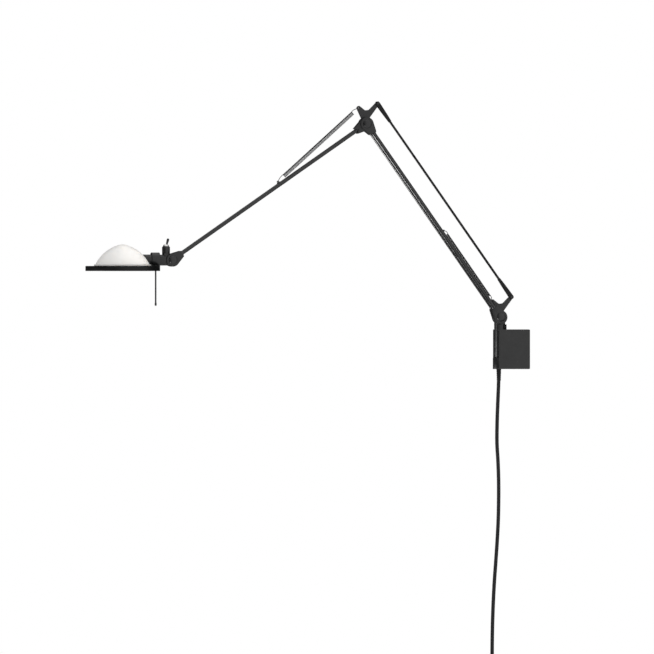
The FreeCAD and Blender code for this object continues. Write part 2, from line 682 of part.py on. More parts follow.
def rod_fork():
    """A tapered fork about the origin, its narrow end up, slotted for the horn plate."""
    wide = ROD_END_WIDE / 2
    narrow = ROD_DIA / 2 + 0.3
    top = ROD_END_REACH
    edges = [
        Part.Arc(V(wide, 0, 0), V(0, 0, -wide), V(-wide, 0, 0)).toShape(),
        Part.LineSegment(V(-wide, 0, 0), V(-narrow, 0, top)).toShape(),
        Part.LineSegment(V(-narrow, 0, top), V(narrow, 0, top)).toShape(),
        Part.LineSegment(V(narrow, 0, top), V(wide, 0, 0)).toShape(),
    ]
    shape = plate(Part.Wire(edges), -ROD_END_OUTER, ROD_END_OUTER)
    # Above the slot the flat sides draw in to the rod's thickness.
    for side in (-1, 1):
        corner = V(-THROUGH, side * ROD_END_OUTER, ROD_SLOT)
        waste = Part.makePolygon([corner, V(-THROUGH, side * narrow, top),
                                  V(-THROUGH, side * (ROD_END_OUTER + 1), top), corner])
        shape = shape.cut(Part.Face(waste).extrude(V(2 * THROUGH, 0, 0)))
    shape = shape.cut(box(-THROUGH, THROUGH, -EAR_INNER, EAR_INNER, -20, ROD_SLOT))
    shape = shape.cut(rod(V(0, 0, top - ROD_SUNK - FIT), V(0, 0, top + 1), ROD_DIA + 2 * FIT))
    return shape.cut(rod_y(V(0, 0, 0), -THROUGH, THROUGH, ROD_PIN_DIA + 2 * RUN))


def make_rod_ends():
    low = placed(rod_fork(), rod_low(), LOWER_LEAN)
    high = placed(rod_fork(), rod_high(), LOWER_LEAN + 180)
    return Part.Compound([low, high])


def rod_pin(at):
    out = ROD_END_OUTER + FACE_GAP
    pin = rod_y(at, -out, out, ROD_PIN_DIA)
    near = rod_y(at, -out - ROD_PIN_HEAD_THICK, -out, ROD_PIN_HEAD)
    far = rod_y(at, out, out + ROD_PIN_HEAD_THICK, ROD_PIN_HEAD)
    return pin.fuse([near, far]).removeSplitter()


# ---- elbow and upper arm -------------------------------------------------------------------

def fork(outer, inner, reach_in, bolt_room, over=0.0, notch=0.0):
    """A two-eared end fitting about the origin whose tube goes up along +Z."""
    end = FITTING_REACH + over
    shape = teardrop(-outer, outer, end)
    slot = box(-30, 30, -inner, inner, -30, reach_in)
    shape = shape.cut(slot)
    if notch > 0:
        room = FERRULE_DIA / 2 + FACE_GAP
        shape = shape.cut(box(-THROUGH, THROUGH, -room, room, FITTING_REACH, end + 1))
        vee = Part.makePolygon([V(-TAIL_HALF, 0, end + 0.01), V(0, 0, end - notch),
                                V(TAIL_HALF, 0, end + 0.01), V(-TAIL_HALF, 0, end + 0.01)])
        for y0, y1 in ((-outer - 1, -room), (room, outer + 1)):
            shape = shape.cut(plate(vee, y0, y1))
    top = V(0, 0, FITTING_REACH)
    shape = shape.cut(rod(top - V(0, 0, SPIGOT_LENGTH + FIT), top + V(0, 0, 1),
                          SPIGOT_DIA + 2 * FIT))
    return shape.cut(rod_y(V(0, 0, 0), -THROUGH, THROUGH, BOLT_DIA + 2 * bolt_room))


def make_elbow_fork():
    shape = fork(EAR_OUTER, EAR_INNER, EAR_SLOT, RUN, TAIL_OVER, TAIL_DEPTH)
    return placed(shape, ELBOW, UPPER_LEAN)


def make_wrist_fork():
    shape = fork(WRIST_OUTER, TONGUE_HALF + FACE_GAP, WRIST_SLOT, FIT)
    return placed(shape, WRIST, UPPER_LEAN + 180)


def make_upper_tube():
    shape = arm_tube(UPPER_LENGTH, 0.0)
    stem = V(TUBE_DIA / 2 - TUBE_WALL - FIT, 0, UPPER_ANCHOR)
    shape = shape.cut(rod(stem, stem + V(TUBE_DIA, 0, 0), ANCHOR_STEM + 2 * FIT))
    return placed(shape, ELBOW, UPPER_LEAN)


def make_upper_ferrules():
    low = ferrule(FITTING_REACH + FIT, 0.0)
    high = ferrule(UPPER_LENGTH - FITTING_REACH - FIT - FERRULE_LENGTH, 0.0)
    return Part.Compound([placed(piece, ELBOW, UPPER_LEAN) for piece in (low, high)])


def make_upper_lead():
    return arm_lead(ELBOW, UPPER_LEAN, UPPER_LENGTH, 0.0)


def make_spring_eye():
    """The riveted lug on the upper arm's tube that holds the upper spring."""
    surface = TUBE_DIA / 2
    shape = hook_lug(UPPER_ANCHOR, 0)
    half = ANCHOR_FOOT / 2
    foot = box(0, surface + ANCHOR_FOOT_THICK, -HORN_HALF, HORN_HALF, UPPER_ANCHOR - half,
               UPPER_ANCHOR + half)
    shape = shape.fuse(foot).removeSplitter()
    shape = shape.cut(rod(V(0, 0, 0), V(0, 0, UPPER_LENGTH), TUBE_DIA + 2 * FIT))
    stem = V(surface - TUBE_WALL, 0, UPPER_ANCHOR)
    shape = shape.fuse(rod(stem, stem + V(TUBE_WALL + ANCHOR_FOOT_THICK, 0, 0), ANCHOR_STEM))
    shape = shape.removeSplitter().cut(hook_hole(UPPER_ANCHOR))
    return placed(shape, ELBOW, UPPER_LEAN)


# ---- wound forms -----------------------------------------------------------------------------

def biarc(p0, t0, p1, t1):
    """Two arcs from p0 with direction t0 to p1 with direction t1."""
    v = p1 - p0
    t = t0 + t1
    a = 2 * (1 - t0.dot(t1))
    b = 2 * v.dot(t)
    c = -v.dot(v)
    d = (-b + math.sqrt(b * b - 4 * a * c)) / (2 * a) if a > 1e-9 else -c / b
    q0 = p0 + t0 * d
    q1 = p1 - t1 * d
    joint = (q0 + q1) * 0.5
    return [arc_by_corner(p0, q0, joint), arc_by_corner(joint, q1, p1)]


def arc_by_corner(start, corner, end):
    """The arc tangent to both legs of a corner with equal legs."""
    middle = (start + end) * 0.5
    h = (middle - corner).Length
    half_chord = (end - start).Length / 2
    leg = math.hypot(h, half_chord)
    radius = leg * half_chord / h
    top = corner + (middle - corner) * ((leg * leg / h - radius) / h)
    return Part.Arc(start, top, end).toShape()


def swept(edges, start, direction, diameter):
    """One unbroken round tube along a chain of tangent edges."""
    profile = Part.Wire([Part.Circle(start, direction, diameter / 2).toShape()])
    return Part.Wire(edges).makePipeShell([profile], True, False)


def least_gap(points, apart, diameter):
    """The least room between parts of a wound path that lie at least apart steps away."""
    cell = 4 * diameter
    grid = {}
    least = 1e9
    for i, p in enumerate(points):
        key = (int(p.x // cell), int(p.y // cell), int(p.z // cell))
        for dx in (-1, 0, 1):
            for dy in (-1, 0, 1):
                for dz in (-1, 0, 1):
                    for j in grid.get((key[0] + dx, key[1] + dy, key[2] + dz), ()):
                        if i - j > apart:
                            least = min(least, (points[j] - p).Length)
        grid.setdefault(key, []).append(i)
    return least - diameter


def make_spring(hole_a, hole_b, turns, coil_start, coil_length):
    """A pulled spring between two hook holes, from one hook's tip to the other's."""
    span = hole_b - hole_a
    pitch = coil_length / turns
    rise = math.atan2(pitch, 2 * math.pi * COIL_MEAN_RADIUS)
    turn_in = math.pi / 2 - rise
    offset = HOOK_BEND * (1 - math.cos(turn_in))
    axis = V(span.x, 0, span.z).normalize()
    side = V(-axis.z, 0, axis.x)
    tilt = math.asin(2 * offset / span.Length)
    axis, side = (axis * math.cos(tilt) - side * math.sin(tilt),
                  side * math.cos(tilt) + axis * math.sin(tilt))
    out = V(0, 1, 0)

    def at(s, e, y):
        return hole_a + axis * s + side * (e + offset) + out * y

    def helix(angle):
        s = first + pitch * angle / (2 * math.pi)
        return at(s, COIL_MEAN_RADIUS * math.sin(angle), COIL_MEAN_RADIUS * math.cos(angle))

    def heading(angle):
        around = side * math.cos(angle) - out * math.sin(angle)
        return (around * math.cos(rise) + axis * math.sin(rise)).normalize()

    bend_run = HOOK_BEND * math.sin(turn_in)
    first = coil_start + bend_run
    last = first + coil_length
    length = (hole_b - hole_a).dot(axis)
    y_far = -HORN_HALF - HOOK_OVERSHOOT
    y_run = COIL_MEAN_RADIUS
    bend = WIRE_DIA

    start = at(0, -offset, y_far)
    corner = at(0, -offset, y_run)
    edges = [Part.LineSegment(start, corner - out * bend).toShape(),
             arc_by_corner(corner - out * bend, corner, corner + axis * bend)]
    bend_leg = HOOK_BEND * math.tan(turn_in / 2)
    corner_a = helix(0) - heading(0) * bend_leg
    edges.append(Part.LineSegment(corner + axis * bend, corner_a - axis * bend_leg).toShape())
    edges.append(arc_by_corner(corner_a - axis * bend_leg, corner_a, helix(0)))
    for half_turn in range(2 * turns):
        a0 = half_turn * math.pi
        a1 = a0 + math.pi
        edges += biarc(helix(a0), heading(a0), helix(a1), heading(a1))
    full = 2 * math.pi * turns
    corner_b = helix(full) + heading(full) * bend_leg
    edges.append(arc_by_corner(helix(full), corner_b, corner_b + axis * bend_leg))
    last_corner = at(length, offset, y_run)
    edges.append(Part.LineSegment(corner_b + axis * bend_leg, last_corner - axis * bend).toShape())
    edges.append(arc_by_corner(last_corner - axis * bend, last_corner, last_corner - out * bend))
    edges.append(Part.LineSegment(last_corner - out * bend, at(length, offset, y_far)).toShape())
    steps = 24
    points = [helix(2 * math.pi * i / steps) for i in range(steps * turns + 1)]
    print("spring coil from %.1f to %.1f of %.1f, least gap %.2f"
          % (first, last, length, least_gap(points, steps // 2, WIRE_DIA)))
    return swept(edges, start, out, WIRE_DIA)


def make_lower_spring():
    hole = SHOULDER + V(SPRING_HORN[0], 0, SPRING_HORN[1])
    anchor = along(SHOULDER, LOWER_LEAN, LOWER_ANCHOR, ANCHOR_OFFSET)
    return make_spring(hole, anchor, LOWER_TURNS, LOWER_COIL_START, LOWER_COIL_LENGTH)


def make_upper_spring():
    hole = ELBOW + V(SPRING_HORN[0], 0, SPRING_HORN[1])
    anchor = along(ELBOW, UPPER_LEAN, UPPER_ANCHOR, ANCHOR_OFFSET)
    return make_spring(hole, anchor, UPPER_TURNS, UPPER_COIL_START, UPPER_COIL_LENGTH)


# ---- head ------------------------------------------------------------------------------------

def out(distance, z=0.0, y=0.0):
    """A point out from the wrist hinge along the head."""
    return WRIST + V(-distance, y, z)


def make_knuckle():
    """The tilting joint: a tongue in the wrist fork, a round body and the switch boss."""
    tongue = rod_y(V(0, 0, 0), -TONGUE_HALF, TONGUE_HALF, KNUCKLE_DIA)
    neck = box(-KNUCKLE_FROM - 2, 0, -TONGUE_HALF, TONGUE_HALF, -KNUCKLE_DIA / 2, KNUCKLE_DIA / 2)
    body = rod(V(-KNUCKLE_FROM, 0, 0), V(-ROLL_FACE, 0, 0), KNUCKLE_DIA)
    neck = neck.common(rod(V(-KNUCKLE_FROM - 2, 0, 0), V(0, 0, 0), KNUCKLE_DIA))
    post = box(-BOSS_OUT - BOSS_DIA / 2, -BOSS_OUT + BOSS_DIA / 2, -TONGUE_HALF, TONGUE_HALF,
               0, BOSS_FOOT + 1)
    post = post.common(rod(V(-BOSS_OUT, 0, 0), V(-BOSS_OUT, 0, BOSS_FOOT + 1), BOSS_DIA))
    straight = BOSS_TOP - BOSS_CHAMFER
    boss = rod(V(-BOSS_OUT, 0, BOSS_FOOT), V(-BOSS_OUT, 0, straight), BOSS_DIA)
    bevel = cone(V(-BOSS_OUT, 0, straight), V(-BOSS_OUT, 0, BOSS_TOP), BOSS_DIA,
                 BOSS_DIA - 2 * BOSS_CHAMFER)
    shape = tongue.fuse([neck, body, post, boss, bevel]).removeSplitter()
    shape = shape.cut(rod_y(V(0, 0, 0), -THROUGH, THROUGH, BOLT_DIA + 2 * RUN))
    shape = shape.cut(rod(V(-BOSS_OUT, 0, SWITCH_FOOT - FIT), V(-BOSS_OUT, 0, BOSS_TOP + 1),
                          SWITCH_DIA + 2 * FIT))
    shape = shape.cut(rod(V(-ROLL_FACE - 1, 0, 0), V(-KNUCKLE_FROM - SPINDLE_REST, 0, 0),
                          SPINDLE_DIA + 2 * FIT))
    return placed(shape, WRIST)


def make_switch_body():
    low = out(BOSS_OUT, SWITCH_FOOT)
    shape = rod(low, out(BOSS_OUT, BOSS_TOP), SWITCH_DIA)
    return shape.cut(rod(out(BOSS_OUT, BOSS_TOP - SWITCH_CUP), out(BOSS_OUT, BOSS_TOP + 1),
                         NUT_BORE))


def make_switch_nut():
    shape = cone(out(BOSS_OUT, BOSS_TOP), out(BOSS_OUT, BOSS_TOP + NUT_HEIGHT), NUT_DIA, NUT_TOP_DIA)
    return shape.cut(rod(out(BOSS_OUT, BOSS_TOP - 1), out(BOSS_OUT, BOSS_TOP + 9), NUT_BORE))


def lever_hinge():
    return out(BOSS_OUT, BOSS_TOP - LEVER_SUNK)


def make_lever():
    tip = LEVER_LENGTH - LEVER_TIP_DIA / 2
    shape = rod(V(0, 0, 0), V(0, 0, LEVER_STRAIGHT), LEVER_DIA)
    shape = shape.fuse(cone(V(0, 0, LEVER_STRAIGHT), V(0, 0, tip), LEVER_DIA, LEVER_TIP_DIA))
    shape = shape.fuse(Part.makeSphere(LEVER_TIP_DIA / 2, V(0, 0, tip)))
    shape = shape.fuse(Part.makeSphere(LEVER_ROOT_DIA / 2, V(0, 0, 0)))
    return placed(shape, lever_hinge(), LEVER_LEAN)


def make_spindle():
    """The hollow spindle on which the head rolls, fixed in the knuckle."""
    return tube(out(KNUCKLE_FROM + SPINDLE_REST), out(ROLL_FACE + SPINDLE_LENGTH), SPINDLE_DIA,
                SPINDLE_BORE)


def make_barrel():
    start = ROLL_FACE + ROLL_GAP
    shape = rod(out(start), out(BARREL_END), BARREL_DIA)
    front = start + SPINDLE_LENGTH + BARREL_SHELF
    shape = shape.cut(rod(out(front), out(BARREL_END + 1), BARREL_BORE))
    return shape.cut(rod(out(start - 1), out(front + 1), SPINDLE_DIA + 2 * RUN))


def make_collar():
    """The clamp on the barrel, with the lug that carries the ring and the handle."""
    start = ROLL_FACE + ROLL_GAP
    shape = rod(out(start), out(start + COLLAR_LENGTH), COLLAR_DIA)
    low = RING_TOP - RING_THICK
    lug = box(WRIST.x - start - LUG_LENGTH, WRIST.x - start, -LUG_HALF, LUG_HALF,
              WRIST.z + low, WRIST.z + RING_TOP + LUG_RISE)
    shape = shape.fuse(lug).removeSplitter()
    shape = shape.cut(rod(out(start - 1), out(start + LUG_LENGTH + 1), BARREL_DIA + 2 * FIT))
    return shape.cut(rod(out(HANDLE_OUT, low - 1), out(HANDLE_OUT, low + HANDLE_SUNK + FIT),
                         HANDLE_DIA + 2 * FIT))


def make_ring():
    low = RING_TOP - RING_THICK
    shape = rod(out(RING_OUT, low), out(RING_OUT, RING_TOP), RING_DIA)
    shape = shape.cut(cone(out(RING_OUT, low - 0.01), out(RING_OUT, RING_TOP + 0.01),
                           RING_MOUTH, RING_BORE))
    start = ROLL_FACE + ROLL_GAP
    lug = box(WRIST.x - start - LUG_LENGTH - FIT, WRIST.x, -LUG_HALF - FIT, LUG_HALF + FIT,
              WRIST.z + low - 1, WRIST.z + RING_TOP + 1)
    return shape.cut(lug)


def make_dome():
    """The glass dome: one wall turned about the ring's axis, open below and at the barrel."""
    foot = RING_TOP + DOME_FLANGE
    base = DOME_BASE_RADIUS
    inner = base - DOME_WALL
    side, side_z = DOME_SHOULDER
    outline = [V(inner, 0, RING_TOP), V(DOME_FLANGE_RADIUS, 0, RING_TOP),
               V(DOME_FLANGE_RADIUS, 0, foot), V(base, 0, foot)]
    edges = [Part.LineSegment(p, q).toShape() for p, q in zip(outline, outline[1:])]
    crown = [V(CROWN_FLAT, 0, DOME_TOP), V(0, 0, DOME_TOP), V(0, 0, DOME_TOP - DOME_WALL),
             V(CROWN_FLAT, 0, DOME_TOP - DOME_WALL)]
    edges.append(Part.Arc(V(base, 0, foot), V(side, 0, side_z), crown[0]).toShape())
    edges += [Part.LineSegment(p, q).toShape() for p, q in zip(crown, crown[1:])]
    edges.append(Part.Arc(crown[3], V(side - DOME_WALL, 0, side_z), V(inner, 0, foot)).toShape())
    edges.append(Part.LineSegment(V(inner, 0, foot), outline[0]).toShape())
    shape = Part.Face(Part.Wire(edges)).revolve(V(0, 0, 0), V(0, 0, 1), 360)
    shape = placed(shape, out(RING_OUT))
    shape = shape.cut(rod(out(0), out(RING_OUT), DOME_HOLE))
    below = box(WRIST.x - RING_OUT, WRIST.x, -DOME_HOLE / 2, DOME_HOLE / 2,
                WRIST.z - DOME_TOP, WRIST.z)
    return shape.cut(below)


def make_socket():
    shape = rod(out(BARREL_END - SOCKET_LENGTH), out(BARREL_END), SOCKET_DIA)
    for y in (-BULB_PIN_HALF, BULB_PIN_HALF):
        shape = shape.cut(rod(out(BARREL_END - BULB_PIN_LENGTH - FIT, 0, y),
                              out(BARREL_END + 1, 0, y), BULB_PIN_DIA + 2 * FIT))
    return shape


def make_bulb():
    start = BARREL_END + FACE_GAP
    shape = rod(out(start), out(start + BULB_LENGTH - BULB_DIA / 2), BULB_DIA)
    shape = shape.fuse(Part.makeSphere(BULB_DIA / 2, out(start + BULB_LENGTH - BULB_DIA / 2)))
    for y in (-BULB_PIN_HALF, BULB_PIN_HALF):
        shape = shape.fuse(rod(out(BARREL_END - BULB_PIN_LENGTH, 0, y), out(start + 1, 0, y),
                               BULB_PIN_DIA))
    return shape.removeSplitter()


def make_handle():
    low = RING_TOP - RING_THICK
    return rod(out(HANDLE_OUT, HANDLE_BOTTOM), out(HANDLE_OUT, low + HANDLE_SUNK), HANDLE_DIA)


def make_handle_tip():
    top = out(HANDLE_OUT, HANDLE_BOTTOM)
    return rod(top - V(0, 0, HANDLE_TIP_LENGTH), top, HANDLE_TIP_DIA)


# ---- cord ------------------------------------------------------------------------------------

def route_edges(points, name):
    """Straight runs joined by tangent arcs, each as large as its two runs allow."""
    points = [V(*p) for p in points]
    edges = []
    radii = []
    at = points[0]
    for before, corner, after in zip(points, points[1:], points[2:]):
        back = (before - corner).normalize()
        ahead = (after - corner).normalize()
        reach = 0.45 * min((before - corner).Length, (after - corner).Length)
        half_turn = (math.pi - back.getAngle(ahead)) / 2
        radii.append(reach / math.tan(half_turn))
        enter = corner + back * reach
        edges.append(Part.LineSegment(at, enter).toShape())
        edges.append(arc_by_corner(enter, corner, corner + ahead * reach))
        at = corner + ahead * reach
    edges.append(Part.LineSegment(at, points[-1]).toShape())
    print(name, "radii", " ".join("%.0f" % r for r in radii))
    return edges


def cord_tube(points, name):
    edges = route_edges(points, name)
    shape = swept(edges, V(*points[0]), V(*points[1]) - V(*points[0]), CORD_DIA)
    ideal = math.pi * CORD_DIA ** 2 / 4 * sum(e.Length for e in edges)
    print(name, "length %.1f, volume %.1f, section times length %.1f"
          % (sum(e.Length for e in edges), shape.Volume, ideal))
    return shape


def make_cord():
    return cord_tube(CORD_ROUTE, "cord")


def coil_centre():
    x, _, z = CORD_ROUTE[-1]
    return V(x - COIL_OUTER, 0, z - CORD_DIA)


def coil_state(turn):
    """Where the coil's centre line is, and its direction, after so many turns."""
    climb_end = COIL_LAYER_TURNS + 0.5
    slope = (COIL_OUTER - COIL_INNER) / COIL_LAYER_TURNS
    if turn <= COIL_LAYER_TURNS:
        radius, radius_rate, y, y_rate = COIL_OUTER - slope * turn, -slope, -LAYER_HALF, 0.0
    elif turn < climb_end:
        part = (turn - COIL_LAYER_TURNS) / 0.5
        radius, radius_rate = COIL_INNER, 0.0
        y = LAYER_HALF * (2 * part - 1)
        y_rate = 4 * LAYER_HALF
    else:
        radius = COIL_INNER + slope * (turn - climb_end)
        radius_rate, y, y_rate = slope, LAYER_HALF, 0.0
    a = -2 * math.pi * turn
    place = coil_centre() + V(radius * math.cos(a), y, radius * math.sin(a))
    spin = -2 * math.pi * radius
    heading = V(radius_rate * math.cos(a) - spin * math.sin(a), y_rate,
                radius_rate * math.sin(a) + spin * math.cos(a))
    return place, heading.normalize()


def make_coil():
    """The tied coil: in along one layer, across at the middle, out along the other."""
    turns = 2 * COIL_LAYER_TURNS + 0.5
    steps = int(round(turns * 4))
    down = V(0, 0, -1)
    stations = [coil_state(turns * i / steps) for i in range(steps + 1)]
    stations[0] = (stations[0][0], down)
    stations[-1] = (stations[-1][0], down)
    climb = [COIL_LAYER_TURNS + part / 4 for part in range(3)]
    for i, (place, heading) in enumerate(stations):
        turn = turns * i / steps
        if abs(turn - climb[0]) < 0.01 or abs(turn - climb[2]) < 0.01:
            stations[i] = (place, V(heading.x, 0, heading.z).normalize())
    start = stations[0][0] - down * CORD_DIA
    end = stations[-1][0] + down * CORD_DIA
    edges = [Part.LineSegment(start, stations[0][0]).toShape()]
    for (p0, t0), (p1, t1) in zip(stations, stations[1:]):
        edges += biarc(p0, t0, p1, t1)
    edges.append(Part.LineSegment(stations[-1][0], end).toShape())
    points = []
    for edge in edges:
        points += edge.discretize(9)[:-1]
    print("coil length %.0f, least gap %.2f"
          % (sum(e.Length for e in edges), least_gap(points, 40, CORD_DIA)))
    return swept(edges, start, down, CORD_DIA)


def coil_end():
    centre = coil_centre()
    return V(centre.x + COIL_OUTER, LAYER_HALF, centre.z - CORD_DIA)


def tail_points():
    top = coil_end()
    return [(top.x + x, top.y + y, top.z + z) for x, y, z in TAIL_ROUTE_DOWN]


def make_tail():
    return cord_tube(tail_points(), "tail")


def make_tie():
    """A flat tie round both layers at the coil's far side."""
    centre = coil_centre()
    half = CORD_DIA / 2 + TIE_CLEAR
    x0 = centre.x - COIL_OUTER - half
    x1 = centre.x - COIL_INNER + half
    y = LAYER_HALF + half
    grow = TIE_THICK
    outer = box(x0 - grow, x1 + grow, -y - grow, y + grow, centre.z - TIE_WIDTH / 2,
                centre.z + TIE_WIDTH / 2)
    return outer.cut(box(x0, x1, -y, y, centre.z - TIE_WIDTH, centre.z + TIE_WIDTH))


def plug_top():
    return V(*tail_points()[-1])


def make_plug():
    """A flat two-pin plug body that hangs from the tail."""
    top = plug_top()
    low = top.z - PLUG_LENGTH
    half = PLUG_WIDTH / 2
    neck = PLUG_NECK_DIA / 2
    right = [(half - PLUG_TAPER, low, 2.0), (half, low + PLUG_SHOULDER, 5.0),
             (half - PLUG_TAPER / 2, top.z - PLUG_SHOULDER, 7.0),
             (neck, top.z - PLUG_NECK_LENGTH, 3.0), (neck, top.z, 0.0)]
    corners = right + [(-x, z, radius) for x, z, radius in reversed(right)]
    shape = plate(rounded_wire(corners), -PLUG_THICK / 2, PLUG_THICK / 2)
    shape.translate(V(top.x, top.y, 0))
    for x in (-PLUG_PIN_SPACING / 2, PLUG_PIN_SPACING / 2):
        foot = V(top.x + x, top.y, low)
        shape = shape.cut(rod(foot - V(0, 0, 1), foot + V(0, 0, PLUG_PIN_SUNK + FIT),
                             PLUG_PIN_DIA + 2 * FIT))
    return shape


def make_plug_pins():
    top = plug_top()
    low = top.z - PLUG_LENGTH
    pins = []
    for x in (-PLUG_PIN_SPACING / 2, PLUG_PIN_SPACING / 2):
        foot = V(top.x + x, top.y, low)
        tip = foot - V(0, 0, PLUG_PIN_LENGTH - PLUG_PIN_DIA / 2)
        pin = rod(tip, foot + V(0, 0, PLUG_PIN_SUNK), PLUG_PIN_DIA)
        pins.append(pin.fuse(Part.makeSphere(PLUG_PIN_DIA / 2, tip)).removeSplitter())
    return Part.Compound(pins)


NODES = {
    "wall_plate": make_wall_plate,
    "bracket_housing": make_housing,
    "housing_screws": make_housing_screws,
    "base_block": make_base_block,
    "pivot_tube": make_pivot_tube,
    "thrust_washer": make_thrust_washer,
    "post_guide": make_post_guide,
    "transformer": make_transformer,
    "terminal_block": make_terminal_block,
    "cord_gland": make_gland,
    "cord_lead": make_cord,
    "cord_coil": make_coil,
    "cord_tail": make_tail,
    "cord_tie": make_tie,
    "plug_body": make_plug,
    "plug_pins": make_plug_pins,
    "swivel_post": make_post,
    "shoulder_horn_plate": make_shoulder_horn,
    "horn_plate_pins": make_plate_pins,
    "shoulder_bolt": lambda: hinge_bolt(SHOULDER, FITTING_OUTER + FACE_GAP),
    "shoulder_knobs": lambda: make_knobs(SHOULDER, FITTING_OUTER + FACE_GAP),
    "shoulder_rod_pin": lambda: rod_pin(rod_low()),
    "shoulder_fittings": make_shoulder_fittings,
    "lower_arm_tubes": make_lower_tubes,
    "lower_arm_ferrules": make_lower_ferrules,
    "lower_arm_leads": make_lower_leads,
    "spring_bridge": make_spring_bridge,
    "elbow_fittings": make_elbow_fittings,
    "elbow_bolt": lambda: hinge_bolt(ELBOW, FITTING_OUTER),
    "elbow_knobs": lambda: make_knobs(ELBOW, FITTING_OUTER),
    "elbow_washers": lambda: washers(ELBOW, EAR_OUTER, WASHER_OUTER, 2 * HUB_RADIUS),
    "lower_spring": make_lower_spring,
    "tie_rod": make_tie_rod,
    "tie_rod_ends": make_rod_ends,
    "elbow_horn_plate": lambda: make_horn_plate(ELBOW, RUN),
    "elbow_rod_pin": lambda: rod_pin(rod_high()),
    "elbow_fork": make_elbow_fork,
    "upper_arm_tube": make_upper_tube,
    "upper_arm_ferrules": make_upper_ferrules,
    "upper_arm_lead": make_upper_lead,
    "spring_eye": make_spring_eye,
    "upper_spring": make_upper_spring,
    "wrist_fork": make_wrist_fork,
    "wrist_bolt": lambda: hinge_bolt(WRIST, WRIST_OUTER),
    "wrist_knobs": lambda: make_knobs(WRIST, WRIST_OUTER),
    "head_knuckle": make_knuckle,
    "roll_spindle": make_spindle,
    "switch_body": make_switch_body,
    "switch_nut": make_switch_nut,
    "switch_lever": make_lever,
    "lamp_barrel": make_barrel,
    "barrel_collar": make_collar,
    "head_ring": make_ring,
    "glass_dome": make_dome,
    "lamp_socket": make_socket,
    "halogen_bulb": make_bulb,
    "handle_rod": make_handle,
    "handle_tip": make_handle_tip,
}

os.makedirs("parts", exist_ok=True)
for name, make in NODES.items():
    solid = make()
    solid.exportStep("parts/%s.step" % name)
    print("%-22s valid %s solids %d volume %.1f" % (name, solid.isValid(), len(solid.Solids),
                                                     solid.Volume))
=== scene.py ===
import bpy
import math
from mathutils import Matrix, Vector


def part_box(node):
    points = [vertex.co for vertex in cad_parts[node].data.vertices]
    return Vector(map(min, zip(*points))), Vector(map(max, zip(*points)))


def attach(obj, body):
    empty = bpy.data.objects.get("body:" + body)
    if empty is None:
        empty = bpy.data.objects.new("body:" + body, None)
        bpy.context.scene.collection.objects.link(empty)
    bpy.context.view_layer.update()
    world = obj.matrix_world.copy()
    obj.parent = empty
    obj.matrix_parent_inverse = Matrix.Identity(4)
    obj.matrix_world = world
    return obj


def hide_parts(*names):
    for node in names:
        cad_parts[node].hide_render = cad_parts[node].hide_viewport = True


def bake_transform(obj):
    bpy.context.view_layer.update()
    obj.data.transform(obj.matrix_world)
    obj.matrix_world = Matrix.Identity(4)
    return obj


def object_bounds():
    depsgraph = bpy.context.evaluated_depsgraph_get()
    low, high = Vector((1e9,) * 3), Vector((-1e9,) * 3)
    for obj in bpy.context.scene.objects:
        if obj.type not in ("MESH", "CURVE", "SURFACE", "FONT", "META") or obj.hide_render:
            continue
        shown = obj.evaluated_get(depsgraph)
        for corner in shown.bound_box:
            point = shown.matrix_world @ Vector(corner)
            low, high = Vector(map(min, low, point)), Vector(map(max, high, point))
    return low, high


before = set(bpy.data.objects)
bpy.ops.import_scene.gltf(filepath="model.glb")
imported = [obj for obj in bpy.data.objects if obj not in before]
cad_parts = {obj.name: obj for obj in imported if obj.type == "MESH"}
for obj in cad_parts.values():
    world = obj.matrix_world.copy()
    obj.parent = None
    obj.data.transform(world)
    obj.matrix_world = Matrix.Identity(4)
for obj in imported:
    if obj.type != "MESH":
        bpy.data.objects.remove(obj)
cad_low, cad_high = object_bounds()

# An articulating wall lamp, in metres. The wall is the plane X = 0, the lamp reaches
# out along -X, its hinges lie along Y, and +Z is up.

# ---- places from the lamp's drawing ---------------------------------------------------
SHOULDER = Vector((-0.0526, 0.0, 0.0605))
LOWER_LEAN = math.radians(-35.2)
LOWER_LENGTH = 0.447
UPPER_LEAN = math.radians(-124.65)
UPPER_LENGTH = 0.453
SPRING_HORN = Vector((-0.0142, 0.0, 0.0302))
LOWER_ANCHOR = (0.196, 0.0062)      # along the arm from its hinge, and beside it
UPPER_ANCHOR = (0.2016, 0.0062)
LEVER_PIVOT = (0.0115, 0.0244)      # out from the wrist hinge along the head, and up
KNOB_RADIUS = 0.008
KNOB_HEIGHT = 0.005
KNOB_RIM = 0.0015                   # where the knob's dome begins


def along(point, lean, distance, side=0.0):
    """A point on an arm: distance from its hinge, side to the arm's upper side."""
    return point + Vector((distance * math.sin(lean) + side * math.cos(lean), 0.0,
                           distance * math.cos(lean) - side * math.sin(lean)))


ELBOW = along(SHOULDER, LOWER_LEAN, LOWER_LENGTH)
WRIST = along(ELBOW, UPPER_LEAN, UPPER_LENGTH)

# ---- camera -----------------------------------------------------------------------------
VIEW_AZIMUTH = math.radians(-11.0)
CAMERA_DISTANCE = 56.0              # a very long lens: the photograph has next to no perspective
SENSOR_WIDTH_MM = 36.0
PICTURE_WIDTH = 1.2364              # of the lamp's middle plane, seen square on
PICTURE_MIDDLE = (-0.378, 0.042)    # across and up, at the middle of the picture

